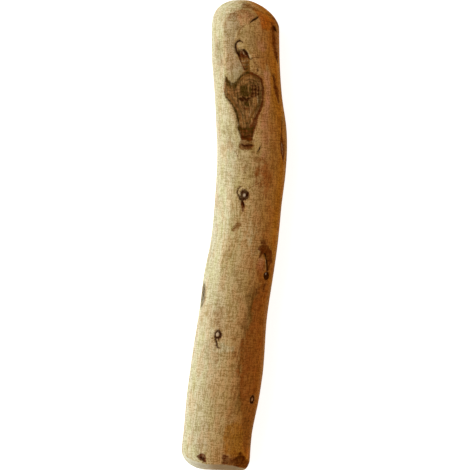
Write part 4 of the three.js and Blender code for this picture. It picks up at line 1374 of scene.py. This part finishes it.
class ChewStickColours(bpy.types.PropertyGroup):
    """The colours of the wood and of its marks."""

    # The colours round the branch hold painted side light too: the sapwood is paler and the deep heartwood
    # darker because the light falls from the left, and the two shade colours are painted shade where the
    # flanks turn under.
    sapwood: colour_property("Sapwood", "Pale wood of the left flank", (0.79, 0.725, 0.475))
    sapwood_shade: colour_property("Sapwood, lower", "Wood below the left flank", (0.70, 0.56, 0.30))
    straw: colour_property("Straw", "Between sapwood and honey", (0.67, 0.51, 0.270))
    honey: colour_property("Honey", "Wood of the top", (0.63, 0.425, 0.185))
    tan: colour_property("Tan", "Wood just right of the top", (0.60, 0.345, 0.130))
    heartwood: colour_property("Heartwood", "Brown wood of the right", (0.51, 0.215, 0.050))
    heartwood_deep: colour_property("Deep heartwood", "Brown of the right flank", (0.49, 0.160, 0.012))
    heartwood_shade: colour_property("Heartwood, lower", "Wood below the right flank", (0.27, 0.125, 0.026))
    underside: colour_property("Underside", "Wood that the stick lies on", (0.56, 0.38, 0.17))
    # Painted shade on the right rim and painted light on the left rim
    right_rim_shade: colour_property("Right flank", "Greyed wood where it turns under", (0.51, 0.27, 0.10))
    left_rim_light: colour_property("Left flank", "Bleached wood where it turns under", (0.82, 0.79, 0.62))
    rosy_tint: colour_property("Rosy cloud", "Laid over pinkish clouds", (1.0, 0.86, 0.80))
    green_tint: colour_property("Green cloud", "Laid over greenish clouds", (0.91, 0.95, 0.76))
    vein_tint: colour_property("Vein", "Laid over the darker veins", (0.80, 0.70, 0.52))
    groove_tint: colour_property("Groove", "Laid over the grooves of the grain", (0.56, 0.49, 0.34))
    # Scraped and pale wood; on the scraped flat and the tip it is also painted light
    pale: colour_property("Pale", "Scraped wood", (0.82, 0.77, 0.50))
    weathered: colour_property("Weathered", "Greyed wood by the eyelet", (0.50, 0.37, 0.21))
    olive: colour_property("Olive", "Greenish brown beside the red wood", (0.20, 0.09, 0.015))
    shade: colour_property("Shade", "Browner wood in soft-edged places", (0.30, 0.15, 0.035))
    # Greenish straw; beside the pale flat it is also painted shade
    green: colour_property("Green", "Greenish straw beside the pale flat", (0.55, 0.435, 0.19))
    rosy: colour_property("Rosy", "Pinkish wood", (0.68, 0.290, 0.135))
    russet: colour_property("Russet", "Red brown wood", (0.37, 0.105, 0.015))
    orange: colour_property("Orange", "Orange brown wood by the tip", (0.56, 0.140, 0.008))
    amber: colour_property("Amber", "Golden brown wood", (0.46, 0.170, 0.016))
    scar_light: colour_property("Scar, light", "Light fibres of the scar", (0.46, 0.220, 0.062))
    scar_dark: colour_property("Scar, dark", "Dark fibres of the scar", (0.125, 0.055, 0.010))
    scar_red: colour_property("Scar, red", "Reddish bars across the scar", (0.31, 0.115, 0.040))
    stain: colour_property("Stain", "Reddish stains", (0.24, 0.085, 0.012))
    rot: colour_property("Rot", "Dark red brown stains", (0.135, 0.022, 0.001))
    char: colour_property("Char", "Greenish black of the scar's heart", (0.070, 0.036, 0.003))
    halo: colour_property("Halo", "Browned wood beside the lines", (0.34, 0.16, 0.045))
    bark: colour_property("Bark", "Ingrown bark in the lines", (0.040, 0.006, 0.0))
    # Painted highlights beside the knots and hollows, and the pale fibres and flecks of the wood
    glint_and_pale_fibre: colour_property("Glint", "Bright wood beside the knots", (0.70, 0.50, 0.26))
    # Pale bud ends, with a painted highlight on them
    stub: colour_property("Stub", "Pale ends of the buds", (0.56, 0.41, 0.27))
    # The cut's sapwood, paler partly as painted light from the left
    sawn_pale: colour_property("Sawn face, pale", "The cut's sapwood", (0.76, 0.72, 0.52))
    sawn: colour_property("Sawn face", "The cut's heartwood", (0.40, 0.26, 0.13))
    sawn_ring: colour_property("Growth ring", "Rings of the cut", (0.30, 0.19, 0.09))
    sawn_heart: colour_property("Heart of the cut", "Dark middle of the cut", (0.26, 0.13, 0.045))


class ChewStickStage(bpy.types.PropertyGroup):
    """The floor, the lights and the camera."""

    floor: colour_property("Floor", "Colour of the floor", (0.9, 0.9, 0.9))
    floor_size: FloatProperty(name="Floor size", description="Side of the floor", default=8, unit="LENGTH")
    floor_glow: FloatProperty(name="Floor glow", description="Light from the floor", default=0.8, min=0)
    sky: FloatProperty(name="Sky", description="Strength of the light from all round", default=0.33, min=0)
    key: FloatProperty(name="Key", description="Power of the left light", default=6, min=0, unit="POWER")
    fill: FloatProperty(name="Fill", description="Power of the right light", default=1, min=0, unit="POWER")
    light_size: FloatProperty(
        name="Light size", description="Side of each soft light", default=1.1, unit="LENGTH",
    )
    lens: FloatProperty(name="Lens", description="Focal length", default=600, subtype="DISTANCE_CAMERA")
    height: FloatProperty(
        name="Camera height", description="Above the floor", default=3.356, unit="LENGTH",
    )
    aside: FloatProperty(name="Camera aside", description="Along X", default=-0.0014, unit="LENGTH")
    roll: FloatProperty(
        name="Roll", description="Turn of the view", default=math.radians(3.48), unit="ROTATION",
    )


class OBJECT_OT_chew_stick_wood(bpy.types.Operator):
    """Models the branch over the part's solid, with its marks and its wood"""

    bl_idname = "object.chew_stick_wood"
    bl_label = "Make the stick"

    def execute(self, context):
        shape = context.scene.chew_stick_shape
        deselect_all()
        piece = straight_tube(shape)
        bend_along_heart(piece)
        fit_to_part(piece)
        refine_marks(piece)
        skin = Skin(piece)
        mark_skin(skin)
        carve_skin(piece, skin, shape)
        keep_on_mesh(piece, skin)
        make_active(piece)
        bpy.ops.object.shade_smooth()
        piece.data.materials.append(wood_material(context.scene.chew_stick_colours))
        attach(piece, "root")
        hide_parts(NODE)
        return {"FINISHED"}


class OBJECT_OT_chew_stick_stage(bpy.types.Operator):
    """Lays the floor, hangs the lights and sets up the camera above the stick"""

    bl_idname = "object.chew_stick_stage"
    bl_label = "Set the stage"

    def execute(self, context):
        settings = context.scene.chew_stick_stage
        deselect_all()
        bpy.ops.mesh.primitive_plane_add(size=settings.floor_size, location=(0, 0, 0))
        floor = context.object
        floor.name = "studio_floor"
        floor.data.materials.append(floor_material(settings.floor, settings.floor_glow))
        world = bpy.data.worlds.new("studio")
        world.use_nodes = True
        background = world.node_tree.nodes["Background"]
        background.inputs["Color"].default_value = (1, 1, 1, 1)
        background.inputs["Strength"].default_value = settings.sky
        context.scene.world = world
        lights = (("soft_key", settings.key, KEY_PLACE), ("soft_fill", settings.fill, FILL_PLACE))
        for name, power, place in lights:
            bpy.ops.object.light_add(type="AREA", location=place)
            light = context.object
            light.name = name
            light.data.shape = "SQUARE"
            light.data.size = settings.light_size
            light.data.energy = power
            light.visible_camera = False
            aim(light, (0, 0, 0))
        bpy.ops.object.camera_add(
            location=(settings.aside, 0, settings.height), rotation=(0, 0, settings.roll),
        )
        camera = context.object
        camera.name = "camera_above"
        camera.data.lens = settings.lens
        context.scene.camera = camera
        context.scene.view_settings.view_transform = "Standard"
        return {"FINISHED"}


class VIEW3D_PT_chew_stick(bpy.types.Panel):
    """Makes the stick and its stage, and holds their sizes and colours"""

    bl_label = "Chew Stick"
    bl_space_type = "VIEW_3D"
    bl_region_type = "UI"
    bl_category = "Chew Stick"

    def draw(self, context):
        scene = context.scene
        for operator in OPERATORS:
            self.layout.operator(operator.bl_idname)
        for group in (scene.chew_stick_shape, scene.chew_stick_colours, scene.chew_stick_stage):
            column = self.layout.column(align=True)
            for name in group.__annotations__:
                column.prop(group, name)


GROUPS = {
    "chew_stick_shape": ChewStickShape,
    "chew_stick_colours": ChewStickColours,
    "chew_stick_stage": ChewStickStage,
}
OPERATORS = (OBJECT_OT_chew_stick_wood, OBJECT_OT_chew_stick_stage)
CLASSES = (*GROUPS.values(), *OPERATORS, VIEW3D_PT_chew_stick)


def register():
    for made in CLASSES:
        bpy.utils.register_class(made)
    for name, group in GROUPS.items():
        setattr(bpy.types.Scene, name, PointerProperty(type=group))


def unregister():
    for name in GROUPS:
        delattr(bpy.types.Scene, name)
    for made in reversed(CLASSES):
        bpy.utils.unregister_class(made)


def main():
    register()
    bpy.ops.object.chew_stick_wood()
    bpy.ops.object.chew_stick_stage()


if __name__ == "__main__":
    main()
